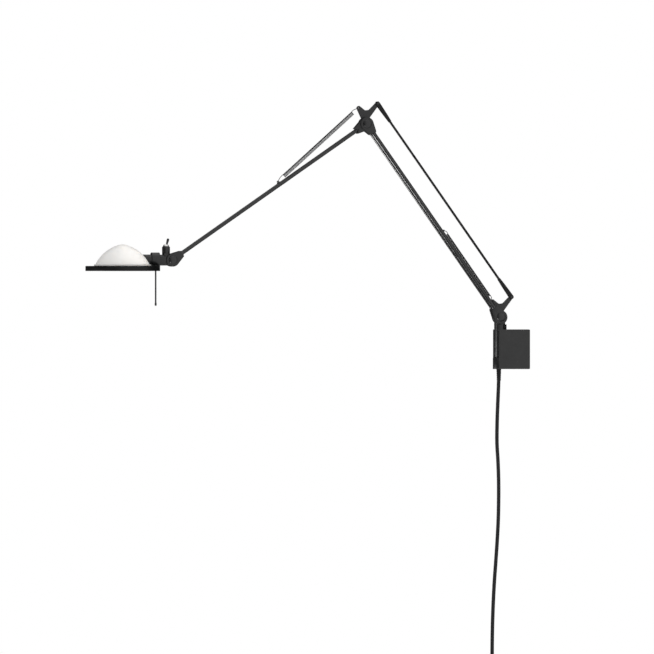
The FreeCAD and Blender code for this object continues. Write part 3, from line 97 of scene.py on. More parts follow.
across = Vector((math.cos(VIEW_AZIMUTH), math.sin(VIEW_AZIMUTH), 0.0))
towards_camera = Vector((math.sin(VIEW_AZIMUTH), -math.cos(VIEW_AZIMUTH), 0.0))
camera_data = bpy.data.cameras.new("studio_camera")
camera_data.sensor_width = SENSOR_WIDTH_MM
camera_data.lens = SENSOR_WIDTH_MM * CAMERA_DISTANCE / PICTURE_WIDTH
camera_data.clip_start = 1.0
camera_data.clip_end = 100.0
camera = bpy.data.objects.new("studio_camera", camera_data)
bpy.context.scene.collection.objects.link(camera)
camera.location = (across * PICTURE_MIDDLE[0] + Vector((0, 0, PICTURE_MIDDLE[1]))
                   + towards_camera * CAMERA_DISTANCE)
camera.rotation_euler = (math.radians(90), 0, VIEW_AZIMUTH)
bpy.context.scene.camera = camera


# ---- finishes -----------------------------------------------------------------------------

def new_finish(name):
    """A finish, its surface shader, and a function that adds a node from values or sockets."""
    finish = bpy.data.materials.new(name)
    finish.use_nodes = True
    tree = finish.node_tree
    tree.nodes.clear()
    output = tree.nodes.new("ShaderNodeOutputMaterial")
    surface = tree.nodes.new("ShaderNodeBsdfPrincipled")
    tree.links.new(surface.outputs[0], output.inputs["Surface"])

    def add(kind, **sockets):
        made = tree.nodes.new(kind)
        for key, value in sockets.items():
            socket = made.inputs[key.replace("_", " ")]
            if isinstance(value, bpy.types.NodeSocket):
                tree.links.new(value, socket)
            else:
                socket.default_value = value
        return made

    return finish, surface, add


def object_coordinates(add):
    return add("ShaderNodeTexCoord").outputs["Object"]


def mottle(add, scale, detail=3.0):
    """Soft clouds on the piece's own coordinates, most of them from CLOUD_LOW to CLOUD_HIGH."""
    clouds = add("ShaderNodeTexNoise", Vector=object_coordinates(add), Scale=scale,
                 Detail=detail, Roughness=0.5)
    return clouds.outputs["Fac"]


CLOUD_LOW, CLOUD_HIGH = 0.3, 0.7


def spread(add, clouds, low, high):
    """Maps clouds onto a range of values."""
    made = add("ShaderNodeMapRange", Value=clouds)
    made.inputs["From Min"].default_value = CLOUD_LOW
    made.inputs["From Max"].default_value = CLOUD_HIGH
    made.inputs["To Min"].default_value = low
    made.inputs["To Max"].default_value = high
    return made.outputs["Result"]


def shade_between(add, clouds, dark, light, dark_until=0.0, light_from=1.0):
    """The dark colour up to one level of the clouds, the light one from another."""
    ramp = add("ShaderNodeValToRGB", Fac=clouds)
    first, last = ramp.color_ramp.elements
    first.color, first.position = (*dark, 1.0), dark_until
    last.color, last.position = (*light, 1.0), light_from
    return ramp.outputs["Color"]


def relief(add, clouds, height, strength, over=None):
    """A bump of a real height in metres, over another bump or over the smooth face."""
    bump = add("ShaderNodeBump", Height=clouds, Strength=strength, Distance=height)
    if over is not None:
        bump.id_data.links.new(over, bump.inputs["Normal"])
    return bump.outputs["Normal"]


def set_surface(surface, **values):
    """Sets the surface's sockets; a space in a socket's name is written as _."""
    for key, value in values.items():
        surface.inputs[key.replace("_", " ")].default_value = value


def join(surface, **sources):
    """Links the sources to the surface's sockets."""
    for key, source in sources.items():
        surface.id_data.links.new(source, surface.inputs[key.replace("_", " ")])


def lacquer(name, dark, light, rough, specular, peel_scale, peel_height):
    """Stoved lacquer on metal: fine orange peel, a little cloudiness in colour and sheen."""
    finish, surface, add = new_finish(name)
    clouds = mottle(add, scale=38.0, detail=4.0)
    tone = shade_between(add, clouds, dark, light, dark_until=0.32, light_from=0.68)
    peel = relief(add, mottle(add, peel_scale, detail=2.0), peel_height, strength=0.6)
    fine_peel = mottle(add, peel_scale * 4.1, detail=1.0)
    join(surface, Base_Color=tone, Roughness=spread(add, mottle(add, scale=120.0), *rough),
         Normal=relief(add, fine_peel, peel_height * 0.3, strength=0.5, over=peel))
    set_surface(surface, Specular_IOR_Level=specular)
    return finish


def brushed_metal(name, dark, light, rough, stretch):
    """Metal with fine drawn lines along one way and faint clouds."""
    finish, surface, add = new_finish(name)
    stretched = add("ShaderNodeMapping", Vector=object_coordinates(add), Scale=stretch)
    lines = add("ShaderNodeTexNoise", Vector=stretched.outputs["Vector"], Scale=1.0, Detail=5.0,
                Roughness=0.62).outputs["Fac"]
    tone = shade_between(add, lines, dark, light, CLOUD_LOW, CLOUD_HIGH)
    join(surface, Base_Color=tone, Roughness=spread(add, lines, *rough),
         Normal=relief(add, lines, height=0.000006, strength=0.5))
    set_surface(surface, Metallic=1.0)
    return finish


def moulded_plastic(name, dark, light, rough, grain):
    """Moulded plastic with a fine spark-eroded grain."""
    finish, surface, add = new_finish(name)
    tone = shade_between(add, mottle(add, scale=60.0), dark, light)
    cells = add("ShaderNodeTexVoronoi", Vector=object_coordinates(add), Scale=grain)
    join(surface, Base_Color=tone, Roughness=spread(add, mottle(add, scale=220.0), *rough),
         Normal=relief(add, cells.outputs["Distance"], height=0.00003, strength=0.35))
    return finish


def cord_jacket():
    """Soft plastic sheath: smooth, with faint long flow marks and dust in its sheen."""
    finish, surface, add = new_finish("cord_jacket")
    tone = shade_between(add, mottle(add, scale=90.0), (0.008, 0.008, 0.009),
                         (0.013, 0.013, 0.014))
    join(surface, Base_Color=tone, Roughness=spread(add, mottle(add, scale=300.0), 0.40, 0.52),
         Normal=relief(add, mottle(add, scale=1600.0, detail=2.0), height=0.00002, strength=0.4))
    set_surface(surface, Specular_IOR_Level=0.25)
    return finish


def opal_glass():
    """Blown opal glass with an etched skin: milk white, faintly warm, soft sheen."""
    finish, surface, add = new_finish("opal_glass")
    tone = shade_between(add, mottle(add, scale=24.0, detail=2.0), (0.735, 0.722, 0.700),
                         (0.760, 0.748, 0.728))
    join(surface, Base_Color=tone, Roughness=spread(add, mottle(add, scale=160.0), 0.30, 0.42),
         Normal=relief(add, mottle(add, scale=700.0, detail=2.0), height=0.00001, strength=0.4))
    set_surface(surface, Subsurface_Weight=0.7, Subsurface_Scale=0.02,
                Subsurface_Radius=(1.0, 0.9, 0.8), IOR=1.5, Coat_Weight=0.1, Coat_Roughness=0.2)
    return finish


def quartz():
    """The bulb's clear envelope, with a slight wave in its wall."""
    finish, surface, add = new_finish("clear_quartz")
    waves = mottle(add, scale=150.0, detail=1.0)
    join(surface, Normal=relief(add, waves, height=0.00003, strength=0.5),
         Roughness=spread(add, mottle(add, scale=90.0), 0.01, 0.05))
    set_surface(surface, Base_Color=(0.97, 0.97, 0.98, 1.0), Transmission_Weight=1.0, IOR=1.46)
    return finish


def glazed_ceramic():
    """Off-white glazed ceramic with fine specks."""
    finish, surface, add = new_finish("glazed_ceramic")
    tone = shade_between(add, mottle(add, scale=200.0), (0.74, 0.72, 0.66), (0.84, 0.83, 0.78))
    specks = mottle(add, scale=2400.0, detail=1.0)
    join(surface, Base_Color=tone, Roughness=spread(add, mottle(add, scale=300.0), 0.22, 0.4),
         Normal=relief(add, specks, height=0.00002, strength=0.5))
    return finish


SATIN = lacquer("satin_black_lacquer", (0.009, 0.009, 0.0095), (0.014, 0.014, 0.0145),
                rough=(0.27, 0.36), specular=0.45, peel_scale=900.0, peel_height=0.00002)
ROD_BLACK = lacquer("rod_black_lacquer", (0.004, 0.004, 0.0045), (0.007, 0.007, 0.0075),
                    rough=(0.30, 0.40), specular=0.22, peel_scale=900.0, peel_height=0.00002)
TUBE_BLACK = lacquer("gloss_black_lacquer", (0.008, 0.008, 0.0085), (0.012, 0.012, 0.0125),
                     rough=(0.16, 0.22), specular=0.55, peel_scale=700.0, peel_height=0.00001)
HOUSING = lacquer("housing_black_lacquer", (0.013, 0.013, 0.0132), (0.017, 0.017, 0.0172),
                  rough=(0.42, 0.52), specular=0.46, peel_scale=1500.0, peel_height=0.00002)
POLISHED = lacquer("polished_black_lacquer", (0.009, 0.009, 0.0095), (0.013, 0.013, 0.0135),
                   rough=(0.28, 0.36), specular=0.5, peel_scale=500.0, peel_height=0.00001)
STEEL = brushed_metal("drawn_steel", (0.42, 0.42, 0.43), (0.60, 0.60, 0.61),
                      rough=(0.26, 0.42), stretch=(900.0, 900.0, 2600.0))
NICKEL = brushed_metal("bright_nickel", (0.66, 0.65, 0.63), (0.80, 0.79, 0.77),
                       rough=(0.10, 0.2), stretch=(500.0, 500.0, 1500.0))
SPRING = lacquer("oiled_black_spring_steel", (0.006, 0.006, 0.007), (0.011, 0.011, 0.012),
                 rough=(0.20, 0.30), specular=0.42, peel_scale=1100.0, peel_height=0.00001)
DARK_STEEL = brushed_metal("blackened_steel", (0.05, 0.05, 0.052), (0.09, 0.09, 0.092),
                           rough=(0.24, 0.36), stretch=(900.0, 900.0, 2600.0))
FILAMENT = brushed_metal("drawn_tungsten", (0.20, 0.19, 0.18), (0.34, 0.33, 0.32),
                         rough=(0.3, 0.45), stretch=(1500.0, 1500.0, 1500.0))
TAPE = moulded_plastic("winding_tape", (0.42, 0.30, 0.08), (0.52, 0.38, 0.12),
                       rough=(0.34, 0.48), grain=900.0)
BLACK_PLASTIC = moulded_plastic("black_moulding", (0.012, 0.012, 0.013), (0.02, 0.02, 0.021),
                                rough=(0.42, 0.56), grain=2600.0)
GREY_PLASTIC = moulded_plastic("grey_moulding", (0.36, 0.36, 0.37), (0.44, 0.44, 0.45),
                               rough=(0.4, 0.5), grain=2000.0)
NYLON = moulded_plastic("natural_nylon", (0.66, 0.64, 0.58), (0.76, 0.74, 0.69),
                        rough=(0.34, 0.46), grain=1400.0)
JACKET = cord_jacket()
OPAL = opal_glass()
QUARTZ = quartz()
CERAMIC = glazed_ceramic()

CAD_FINISHES = {
    SATIN: ["base_block", "post_guide", "swivel_post", "shoulder_horn_plate",
            "shoulder_fittings", "elbow_fittings", "elbow_horn_plate", "elbow_fork", "wrist_fork",
            "head_knuckle", "lamp_barrel", "barrel_collar"],
    TUBE_BLACK: ["lower_arm_tubes", "upper_arm_tube"],
    ROD_BLACK: ["tie_rod", "tie_rod_ends", "head_ring"],
    HOUSING: ["bracket_housing", "wall_plate"],
    POLISHED: ["shoulder_knobs", "shoulder_rod_pin", "spring_bridge", "elbow_knobs",
               "elbow_rod_pin", "spring_eye", "wrist_knobs", "switch_lever"],
    STEEL: ["housing_screws", "pivot_tube", "horn_plate_pins", "shoulder_bolt",
            "elbow_bolt", "wrist_bolt", "roll_spindle"],
    DARK_STEEL: ["lower_arm_ferrules", "upper_arm_ferrules", "handle_rod"],
    NICKEL: ["plug_pins", "switch_nut"],
    SPRING: ["lower_spring", "upper_spring"],
    BLACK_PLASTIC: ["thrust_washer", "transformer", "cord_gland", "cord_tie", "plug_body",
                    "switch_body", "handle_tip"],
    GREY_PLASTIC: ["terminal_block"],
    NYLON: ["elbow_washers"],
    JACKET: ["cord_lead", "cord_coil", "cord_tail", "lower_arm_leads", "upper_arm_lead"],
    OPAL: ["glass_dome"],
    QUARTZ: ["halogen_bulb"],
    CERAMIC: ["lamp_socket"],
}
for finish, node_names in CAD_FINISHES.items():
    for node_name in node_names:
        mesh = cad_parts[node_name].data
        mesh.materials.clear()
        mesh.materials.append(finish)


# ---- mains cord -----------------------------------------------------------------------------
CORD_DIAMETER = 0.007
CORD_ROUTE = [
    (-0.0543, 0.0, -0.0375), (-0.0543, 0.0, -0.0580), (-0.0560, 0.0, -0.0958),
    (-0.0575, 0.0, -0.1336), (-0.0581, 0.0, -0.1713), (-0.0573, 0.0, -0.1902),
    (-0.0559, 0.0, -0.2091), (-0.0545, 0.0, -0.2469), (-0.0545, 0.0, -0.2846),
    (-0.0552, 0.0, -0.3224), (-0.0572, 0.0, -0.3601), (-0.0598, 0.0, -0.3979),
    (-0.0631, 0.0, -0.4413), (-0.0656, -0.0008, -0.4870), (-0.0674, -0.0024, -0.5380),
    (-0.0680, -0.00375, -0.5900), (-0.0680, -0.00375, -0.6300),
]
LAYER_HALF = 0.00375                # half the distance between the coil's two layers
COIL_OUTER = 0.0497
COIL_INNER = 0.0300
LAYER_TURNS = 2.25
CROSSING_TURNS = 0.5                # on the inner turn, from one layer to the other
POINTS_PER_TURN = 16
COIL_CENTRE = Vector((CORD_ROUTE[-1][0] - COIL_OUTER, 0.0, CORD_ROUTE[-1][2] - CORD_DIAMETER))
TAIL_DROP = [(0.0, 0.0, -0.0240), (0.0016, -0.0014, -0.0560), (0.0016, -0.0014, -0.0820)]


def coil_place(turn):
    """The coil's centre line after so many turns: in on the near layer, out on the far one."""
    slope = (COIL_OUTER - COIL_INNER) / LAYER_TURNS
    climb_end = LAYER_TURNS + CROSSING_TURNS
    if turn <= LAYER_TURNS:
        radius, y = COIL_OUTER - slope * turn, -LAYER_HALF
    elif turn < climb_end:
        radius, y = COIL_INNER, LAYER_HALF * (2 * (turn - LAYER_TURNS) / CROSSING_TURNS - 1)
    else:
        radius, y = COIL_INNER + slope * (turn - climb_end), LAYER_HALF
    a = -2 * math.pi * turn
    return COIL_CENTRE + Vector((radius * math.cos(a), y, radius * math.sin(a)))


def make_mains_cord():
    """The cord from the base block to the plug, by way of its coil, as one curve."""
    points = [Vector(p) for p in CORD_ROUTE]
    turns = 2 * LAYER_TURNS + CROSSING_TURNS
    count = int(POINTS_PER_TURN * turns)
    points += [coil_place(turns * i / count) for i in range(count + 1)]
    tail_start = coil_place(turns) - Vector((0, 0, CORD_DIAMETER))
    points.append(tail_start)
    points += [tail_start + Vector(step) for step in TAIL_DROP]
    curve = bpy.data.curves.new("mains_cord", "CURVE")
    curve.dimensions = "3D"
    spline = curve.splines.new("NURBS")
    spline.points.add(len(points) - 1)
    for target, point in zip(spline.points, points):
        target.co = (*point, 1.0)
    spline.order_u = 3
    spline.use_endpoint_u = True
    spline.resolution_u = 6
    curve.bevel_depth = CORD_DIAMETER / 2
    curve.bevel_resolution = 6
    curve.use_fill_caps = True
    curve.materials.append(JACKET)
    cord = bpy.data.objects.new("mains_cord", curve)
    bpy.context.scene.collection.objects.link(cord)
    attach(cord, "wall_bracket")
    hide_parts("cord_lead", "cord_coil", "cord_tail")
    return cord


mains_cord = make_mains_cord()


# ---- modelling helpers ------------------------------------------------------------------------
WELD = 0.000002                     # corners nearer than this become one
FLAT_ANGLE = 0.6                    # degrees: faces that bend less than this are one flat face
SHARP_ANGLE = 28.0                  # degrees: edges that bend more than this are rounded


def deselect():
    if bpy.context.mode != "OBJECT":
        bpy.ops.object.mode_set(mode="OBJECT")
    bpy.ops.object.select_all(action="DESELECT")


def only(piece):
    """The piece alone is selected and active."""
    deselect()
    piece.hide_set(False)
    piece.select_set(True)
    bpy.context.view_layer.objects.active = piece
    return piece


def just_made(name):
    piece = bpy.context.object
    piece.name = name
    piece.data.name = name
    return piece


def apply_place(piece):
    only(piece)
    bpy.ops.object.transform_apply(location=True, rotation=True, scale=True)
    return piece


def apply_modifier(piece, kind, **settings):
    only(piece)
    modifier = piece.modifiers.new(kind.lower(), kind)
    for key, value in settings.items():
        setattr(modifier, key, value)
    bpy.ops.object.modifier_apply(modifier=modifier.name)


def outward(piece):
    """Doubled corners welded, and every face turned outward."""
    only(piece)
    bpy.ops.object.mode_set(mode="EDIT")
    bpy.ops.mesh.select_all(action="SELECT")
    bpy.ops.mesh.remove_doubles(threshold=WELD)
    bpy.ops.mesh.normals_make_consistent(inside=False)
    bpy.ops.object.mode_set(mode="OBJECT")


def smooth(piece, angle=32.0):
    only(piece)
    bpy.ops.object.shade_smooth_by_angle(angle=math.radians(angle))
    return piece


def finished(piece, finish, slot, *nodes):
    """The piece gets its finish and stands for its CAD nodes."""
    piece.data.materials.clear()
    piece.data.materials.append(finish)
    if nodes:
        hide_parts(*nodes)
    return piece


def fit_on(piece, body, finish, slot, *nodes):
    """The finished piece rides on its body."""
    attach(piece, body)
    return finished(piece, finish, slot, *nodes)


def eased(node_name, width, body, finish, slot, segments=2):
    """The node's own shape with every sharp edge rounded to the width."""
    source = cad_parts[node_name]
    mesh = source.data.copy()
    piece = bpy.data.objects.new(node_name + "_eased", mesh)
    mesh.name = piece.name
    bpy.context.scene.collection.objects.link(piece)
    only(piece)
    bpy.ops.object.mode_set(mode="EDIT")
    bpy.ops.mesh.select_all(action="SELECT")
    bpy.ops.mesh.remove_doubles(threshold=WELD)
    bpy.ops.mesh.dissolve_limited(angle_limit=math.radians(FLAT_ANGLE))
    bpy.ops.object.mode_set(mode="OBJECT")
    apply_modifier(piece, "BEVEL", width=width, segments=segments, limit_method="ANGLE",
                   angle_limit=math.radians(SHARP_ANGLE), use_clamp_overlap=True,
                   harden_normals=False)
    smooth(piece)
    return fit_on(piece, body, finish, slot, node_name)


# ---- light ----------------------------------------------------------------------------------
SOFTBOX_AIM = Vector((-0.38, 0.0, 0.1))
SOFTBOXES = [                           # name, place, width, height, watts
    ("top_softbox", (-0.45, 0.0, 2.4), 1.1, 0.9, 1.5),
    ("low_left_edge", (-2.3, 0.35, -1.2), 0.9, 0.6, 45.0),
    ("high_right_edge", (1.6, -0.83, 1.6), 0.7, 0.5, 0.6),
    ("left_fill", (-2.4, -2.2, 1.2), 1.4, 1.4, 3.0),
    ("right_fill", (2.0, -2.6, 0.8), 1.8, 2.0, 0.6),
    ("back_left_strip", (-0.95, 2.94, 0.1), 0.3, 2.0, 0.8),
]


def add_softbox(name, place, width, height, watts):
    """An area light at its place, turned to the middle of the lamp."""
    light = bpy.data.lights.new(name, "AREA")
    light.shape = "RECTANGLE"
    light.size = width
    light.size_y = height
    light.energy = watts
    lamp = bpy.data.objects.new(name, light)
    bpy.context.scene.collection.objects.link(lamp)
    lamp.location = place
    lamp.rotation_euler = (SOFTBOX_AIM - Vector(place)).to_track_quat("-Z", "Y").to_euler()


AMBIENT = 0.83                          # how much light the surround gives to matt surfaces
BLACK_FLAGS = [                         # dark panels, for contrast: way, edge, core, light left
    ((-0.998, -0.070, 0.0), 0.25, 0.60, 0.04),
    ((0.438, 0.899, 0.0), 0.05, 0.36, 0.02),
]
ABOVE_FLAGS = (0.50, 0.75)              # over these heights the flags give way to open sky


def white_surround():
    """White all round for the camera, dimmer for matt faces, with black flags in the gloss."""
    world = bpy.data.worlds.new("white_surround")
    bpy.context.scene.world = world
    world.use_nodes = True
    tree = world.node_tree
    tree.nodes.clear()

    def add(kind, *sources, operation=None):
        made = tree.nodes.new(kind)
        if operation:
            made.operation = operation
        for socket, source in zip(made.inputs, sources):
            if isinstance(source, bpy.types.NodeSocket):
                tree.links.new(source, socket)
            elif source is not None:
                socket.default_value = source
        return made

    rays = add("ShaderNodeLightPath")
    way = add("ShaderNodeTexCoord").outputs["Generated"]
    height = add("ShaderNodeSeparateXYZ", way).outputs["Z"]
    above = add("ShaderNodeMapRange", height, *ABOVE_FLAGS, 0.0, 1.0).outputs["Result"]
    glossy = rays.outputs["Is Glossy Ray"]
    for flag_way, edge, core, left in BLACK_FLAGS:
        towards_flag = add("ShaderNodeVectorMath", way, flag_way, operation="DOT_PRODUCT")
        flagged = add("ShaderNodeMapRange", towards_flag.outputs["Value"], edge, core, 1.0, left)
        open_sky = add("ShaderNodeMath", flagged.outputs["Result"], above, operation="MAXIMUM")
        glossy = add("ShaderNodeMath", glossy, open_sky.outputs[0],
                     operation="MULTIPLY").outputs[0]
    bright = add("ShaderNodeMath", rays.outputs["Is Camera Ray"],
                 rays.outputs["Is Transmission Ray"], operation="MAXIMUM")
    seen = add("ShaderNodeMath", glossy, bright.outputs[0], operation="MAXIMUM")
    diffuse = add("ShaderNodeMath", rays.outputs["Is Diffuse Ray"], AMBIENT,
                  operation="MULTIPLY")
    level = add("ShaderNodeMath", seen.outputs[0], diffuse.outputs[0], operation="MAXIMUM")
    background = add("ShaderNodeBackground", (1.0, 1.0, 1.0, 1.0), level.outputs[0])
    add("ShaderNodeOutputWorld", background.outputs[0])


FLOOR_WHITE = 0.8                       # how far the camera sees the floor as plain white
FLOOR_DROP = 0.004                      # its distance below the plug's pins


def pale_floor():
    """A floor well below the lamp that the camera sees nearly as white as the surround."""
    deselect()
    bpy.ops.mesh.primitive_plane_add(size=1.2, location=(-0.4, 0.0, cad_low.z - FLOOR_DROP))
    floor = apply_place(just_made("studio_floor"))
    finish, surface, add = new_finish("pale_floor")
    set_surface(surface, Base_Color=(0.86, 0.86, 0.86, 1.0), Roughness=0.8)
    share = add("ShaderNodeMath", Value=add("ShaderNodeLightPath").outputs["Is Camera Ray"])
    share.operation = "MULTIPLY"
    share.inputs[1].default_value = FLOOR_WHITE
    white = add("ShaderNodeEmission", Color=(1.0, 1.0, 1.0, 1.0), Strength=1.0)
    mix = add("ShaderNodeMixShader", Fac=share.outputs[0])
    links = finish.node_tree.links
    output = surface.outputs[0].links[0].to_socket
    links.new(surface.outputs[0], mix.inputs[1])
    links.new(white.outputs[0], mix.inputs[2])
    links.new(mix.outputs[0], output)
    floor.data.materials.append(finish)


for softbox in SOFTBOXES:
    add_softbox(*softbox)
white_surround()
pale_floor()
bpy.context.scene.view_settings.view_transform = "Standard"


# ---- turned and drawn work --------------------------------------------------------------------

def drawn(name, points):
    """A line of edges through the points, drawn by extruding one corner; stays in edit mode."""
    deselect()
    bpy.ops.mesh.primitive_plane_add(size=0.001, location=points[0])
    piece = apply_place(just_made(name))
    bpy.ops.object.mode_set(mode="EDIT")
    bpy.ops.mesh.select_all(action="SELECT")
    bpy.ops.mesh.merge(type="CENTER")
    for start, end in zip(points, points[1:]):
        step = Vector(end) - Vector(start)
        bpy.ops.mesh.extrude_vertices_move(TRANSFORM_OT_translate={"value": step})
    return piece


def turned(name, outline, sides=48, angle=32.0):
    """A part turned about +Z from an outline of (radius, height)."""
    piece = drawn(name, [(radius, 0.0, height) for radius, height in outline])
    bpy.ops.mesh.select_all(action="SELECT")
    bpy.ops.mesh.spin(steps=sides, angle=2 * math.pi, center=(0, 0, 0), axis=(0, 0, 1))
    bpy.ops.object.mode_set(mode="OBJECT")
    outward(piece)
    return smooth(piece, angle)


def stood(piece, place, way):
    """The piece moved from the origin to its place, its +Z turned to the given way."""
    piece.rotation_euler = Vector(way).to_track_quat("Z", "Y").to_euler()
    piece.location = place
    return apply_place(piece)


def one_more(piece, name):
    """A copy with its own mesh."""
    mesh = piece.data.copy()
    mesh.name = name
    twin = bpy.data.objects.new(name, mesh)
    bpy.context.scene.collection.objects.link(twin)
    return twin


def joined(name, pieces):
    deselect()
    for piece in pieces:
        piece.select_set(True)
    bpy.context.view_layer.objects.active = pieces[0]
    bpy.ops.object.join()
    return just_made(name)


def bent_wire(name, points, diameter, sides=2):
    """A wire along a smooth line through the given corners, as a mesh."""
    curve = bpy.data.curves.new(name, "CURVE")
    curve.dimensions = "3D"
    spline = curve.splines.new("NURBS")
    spline.points.add(len(points) - 1)
    for target, point in zip(spline.points, points):
        target.co = (*point, 1.0)
    spline.order_u = 3
    spline.use_endpoint_u = True
    spline.resolution_u = 5
    curve.bevel_depth = diameter / 2
    curve.bevel_resolution = sides
    curve.use_fill_caps = True
    wire = bpy.data.objects.new(name, curve)
    bpy.context.scene.collection.objects.link(wire)
    only(wire)
    bpy.ops.object.convert(target="MESH")
    return smooth(bpy.context.object, angle=60.0)


def cut_with(piece, cutter):
    """The cutter's shape taken out of the piece."""
    apply_modifier(piece, "BOOLEAN", operation="DIFFERENCE", object=cutter, solver="EXACT")
    bpy.data.objects.remove(cutter)


def quarter_round(radius, base, rise, steps):
    """Points of (radius, height) up a quarter of an ellipse, from its rim to its top."""
    points = []
    for step in range(steps):
        a = math.radians(90.0 * step / steps)
        points.append((radius * math.cos(a), base + rise * math.sin(a)))
    return points + [(0.0, base + rise)]


# ---- hinge knobs ------------------------------------------------------------------------------

def make_knob():
    """A domed cap: a narrow shadow line at its foot, then one full curve."""
    foot = [(0.0, 0.0), (0.0072, 0.0), (0.0072, 0.00025), (0.0078, 0.0003), (KNOB_RADIUS, 0.0005)]
    crown = quarter_round(KNOB_RADIUS, KNOB_RIM, KNOB_HEIGHT - KNOB_RIM, 12)
    return turned("knob_master", foot + crown, sides=64, angle=50.0)


def place_knobs(node_name, hinge, body):
    """A knob on each end of the hinge's bolt."""
    low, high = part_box(node_name)
    face = high[1] - KNOB_HEIGHT
    pair = []
    for side in (-1, 1):
        knob = one_more(knob_master, "%s_%s" % (node_name, "near" if side < 0 else "far"))
        stood(knob, (hinge.x, side * face, hinge.z), (0, side, 0))
        pair.append(knob)
    both = joined(node_name + "_domed", pair)
    fit_on(both, body, POLISHED, "black_gloss", node_name)


knob_master = make_knob()
place_knobs("shoulder_knobs", SHOULDER, "swivel")
place_knobs("elbow_knobs", ELBOW, "lower_arm")
place_knobs("wrist_knobs", WRIST, "upper_arm")
bpy.data.objects.remove(knob_master)


# ---- springs ------------------------------------------------------------------------------------
WIRE = 0.0013
COIL_RADIUS = 0.0033
COIL_STEPS = 14             # flat lengths in each of the coil's turns
HOOK_BEND = 0.0012
HOOK_SIDE = 0.0028          # the hook's legs pass the plate this far to each side
HOOK_FLARE = 0.0002         # how much wider the legs stand beyond the plate


def end_wire(reach, bow):
    """From the tip of the hook, through its hole at the origin, to the coil's last turn."""
    r, side = COIL_RADIUS, HOOK_SIDE
    return [(side + HOOK_FLARE, 0.0010, 0.0012), (side, 0.0, 0.0), (-side, 0.0, 0.0),
            (-side - HOOK_FLARE, 0.0003 + 0.0007 * bow, 0.0016),
            (-0.8 * side, 0.4 * r + 0.35 * r * bow, 0.34 * reach),
            (-0.4 * side, r, 0.62 * reach), (0.0, r, 0.86 * reach), (0.0, r, reach)]


# How far a spring has turned with its arm (second) at each share of its length (first), so that
# the drawn spring stays nearly straight from its horn's hole to its anchor at every angle.
LOWER_TURN = [(0.0, 0.0), (0.04, 0.225), (0.10, 0.438), (0.22, 0.662), (0.45, 0.85),
              (0.75, 0.955), (1.0, 1.0)]
UPPER_TURN = [(0.0, 0.0), (0.0637, 0.26), (0.10, 0.42), (0.17, 0.68), (0.25, 0.85),
              (0.40, 0.965), (1.0, 1.0)]


def cut_off_below(piece, height):
    """The faces whose middles lie below the height become a piece of their own."""
    only(piece)
    bpy.ops.object.mode_set(mode="EDIT")
    bpy.ops.mesh.select_mode(type="FACE")
    bpy.ops.mesh.select_all(action="DESELECT")
    bpy.ops.object.mode_set(mode="OBJECT")
    for face in piece.data.polygons:
        face.select = face.center.z < height
    bpy.ops.object.mode_set(mode="EDIT")
    bpy.ops.mesh.separate(type="SELECTED")
    bpy.ops.mesh.select_mode(type="VERT")
    bpy.ops.object.mode_set(mode="OBJECT")
    return next(thing for thing in bpy.context.selected_objects if thing != piece)


def make_spring(name, node_name, hinge, anchor, coil_start, coil_length, turns,
                turning):
    """A drawn coil with a hooked end wire at each end, cut into lengths at the table's shares of
    its length.
    """
    hole = hinge + SPRING_HORN
    span = anchor - hole
    first = coil_start + HOOK_BEND
    last = first + coil_length
    deselect()
    bpy.ops.mesh.primitive_circle_add(vertices=8, radius=WIRE / 2, fill_type="NOTHING",
                                      location=(0, COIL_RADIUS, first),
                                      rotation=(0, math.radians(90), 0))
    coil = apply_place(just_made(name))
    apply_modifier(coil, "SCREW", axis="Z", angle=2 * math.pi, screw_offset=coil_length / turns,
                   iterations=turns, steps=COIL_STEPS, render_steps=COIL_STEPS,
                   use_merge_vertices=False)
    outward(coil)
    smooth(coil, angle=60.0)
    start = bent_wire(name + "_start", end_wire(first, 0.0), WIRE)
    end = bent_wire(name + "_end", [(-x, y, span.length - z) for x, y, z
                                    in end_wire(span.length - last, 1.0)], WIRE)
    whole = joined(name, [coil, start, end])
    for number, (low, high) in enumerate(zip(turning, turning[1:]), start=1):
        last_one = high is turning[-1]
        length = whole if last_one else cut_off_below(whole, high[0] * span.length)
        length.name = length.data.name = "%s_%d" % (name, number)
        stood(length, hole, span)
        finished(length, SPRING, "spring_wire", node_name)
        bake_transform(length)


make_spring("lower_pull_spring", "lower_spring", hinge=SHOULDER,
            anchor=along(SHOULDER, LOWER_LEAN, *LOWER_ANCHOR), coil_start=0.0099,
            coil_length=0.143, turns=84,
            turning=LOWER_TURN)
make_spring("upper_pull_spring", "upper_spring", hinge=ELBOW,
            anchor=along(ELBOW, UPPER_LEAN, *UPPER_ANCHOR), coil_start=0.0133,
            coil_length=0.1785, turns=96,
            turning=UPPER_TURN)


# ---- cord sleeve, screws, switch, handle tip --------------------------------------------------

def make_cord_sleeve():
    """The soft tapered sleeve that leads the cord out of the base block, with five grooves."""
    bore = 0.0034
    deep = 0.00045
    outline = [(bore, 0.0), (0.0046, 0.0)]
    for groove in range(5):
        z = -0.0028 - 0.0034 * groove
        r = 0.0045 - 0.00012 * groove
        outline += [(r, z), (r - deep, z - 0.0003), (r - deep, z - 0.0011),
                    (r - 0.00006, z - 0.0014)]
    outline += [(0.0039, -0.0205), (0.0036, -0.0220), (bore, -0.0220), (bore, 0.0)]
    sleeve = turned("cord_sleeve", outline, sides=32, angle=30.0)
    stood(sleeve, CORD_ROUTE[0], (0, 0, 1))
    fit_on(sleeve, "wall_bracket", JACKET, "black_rubber")


make_cord_sleeve()


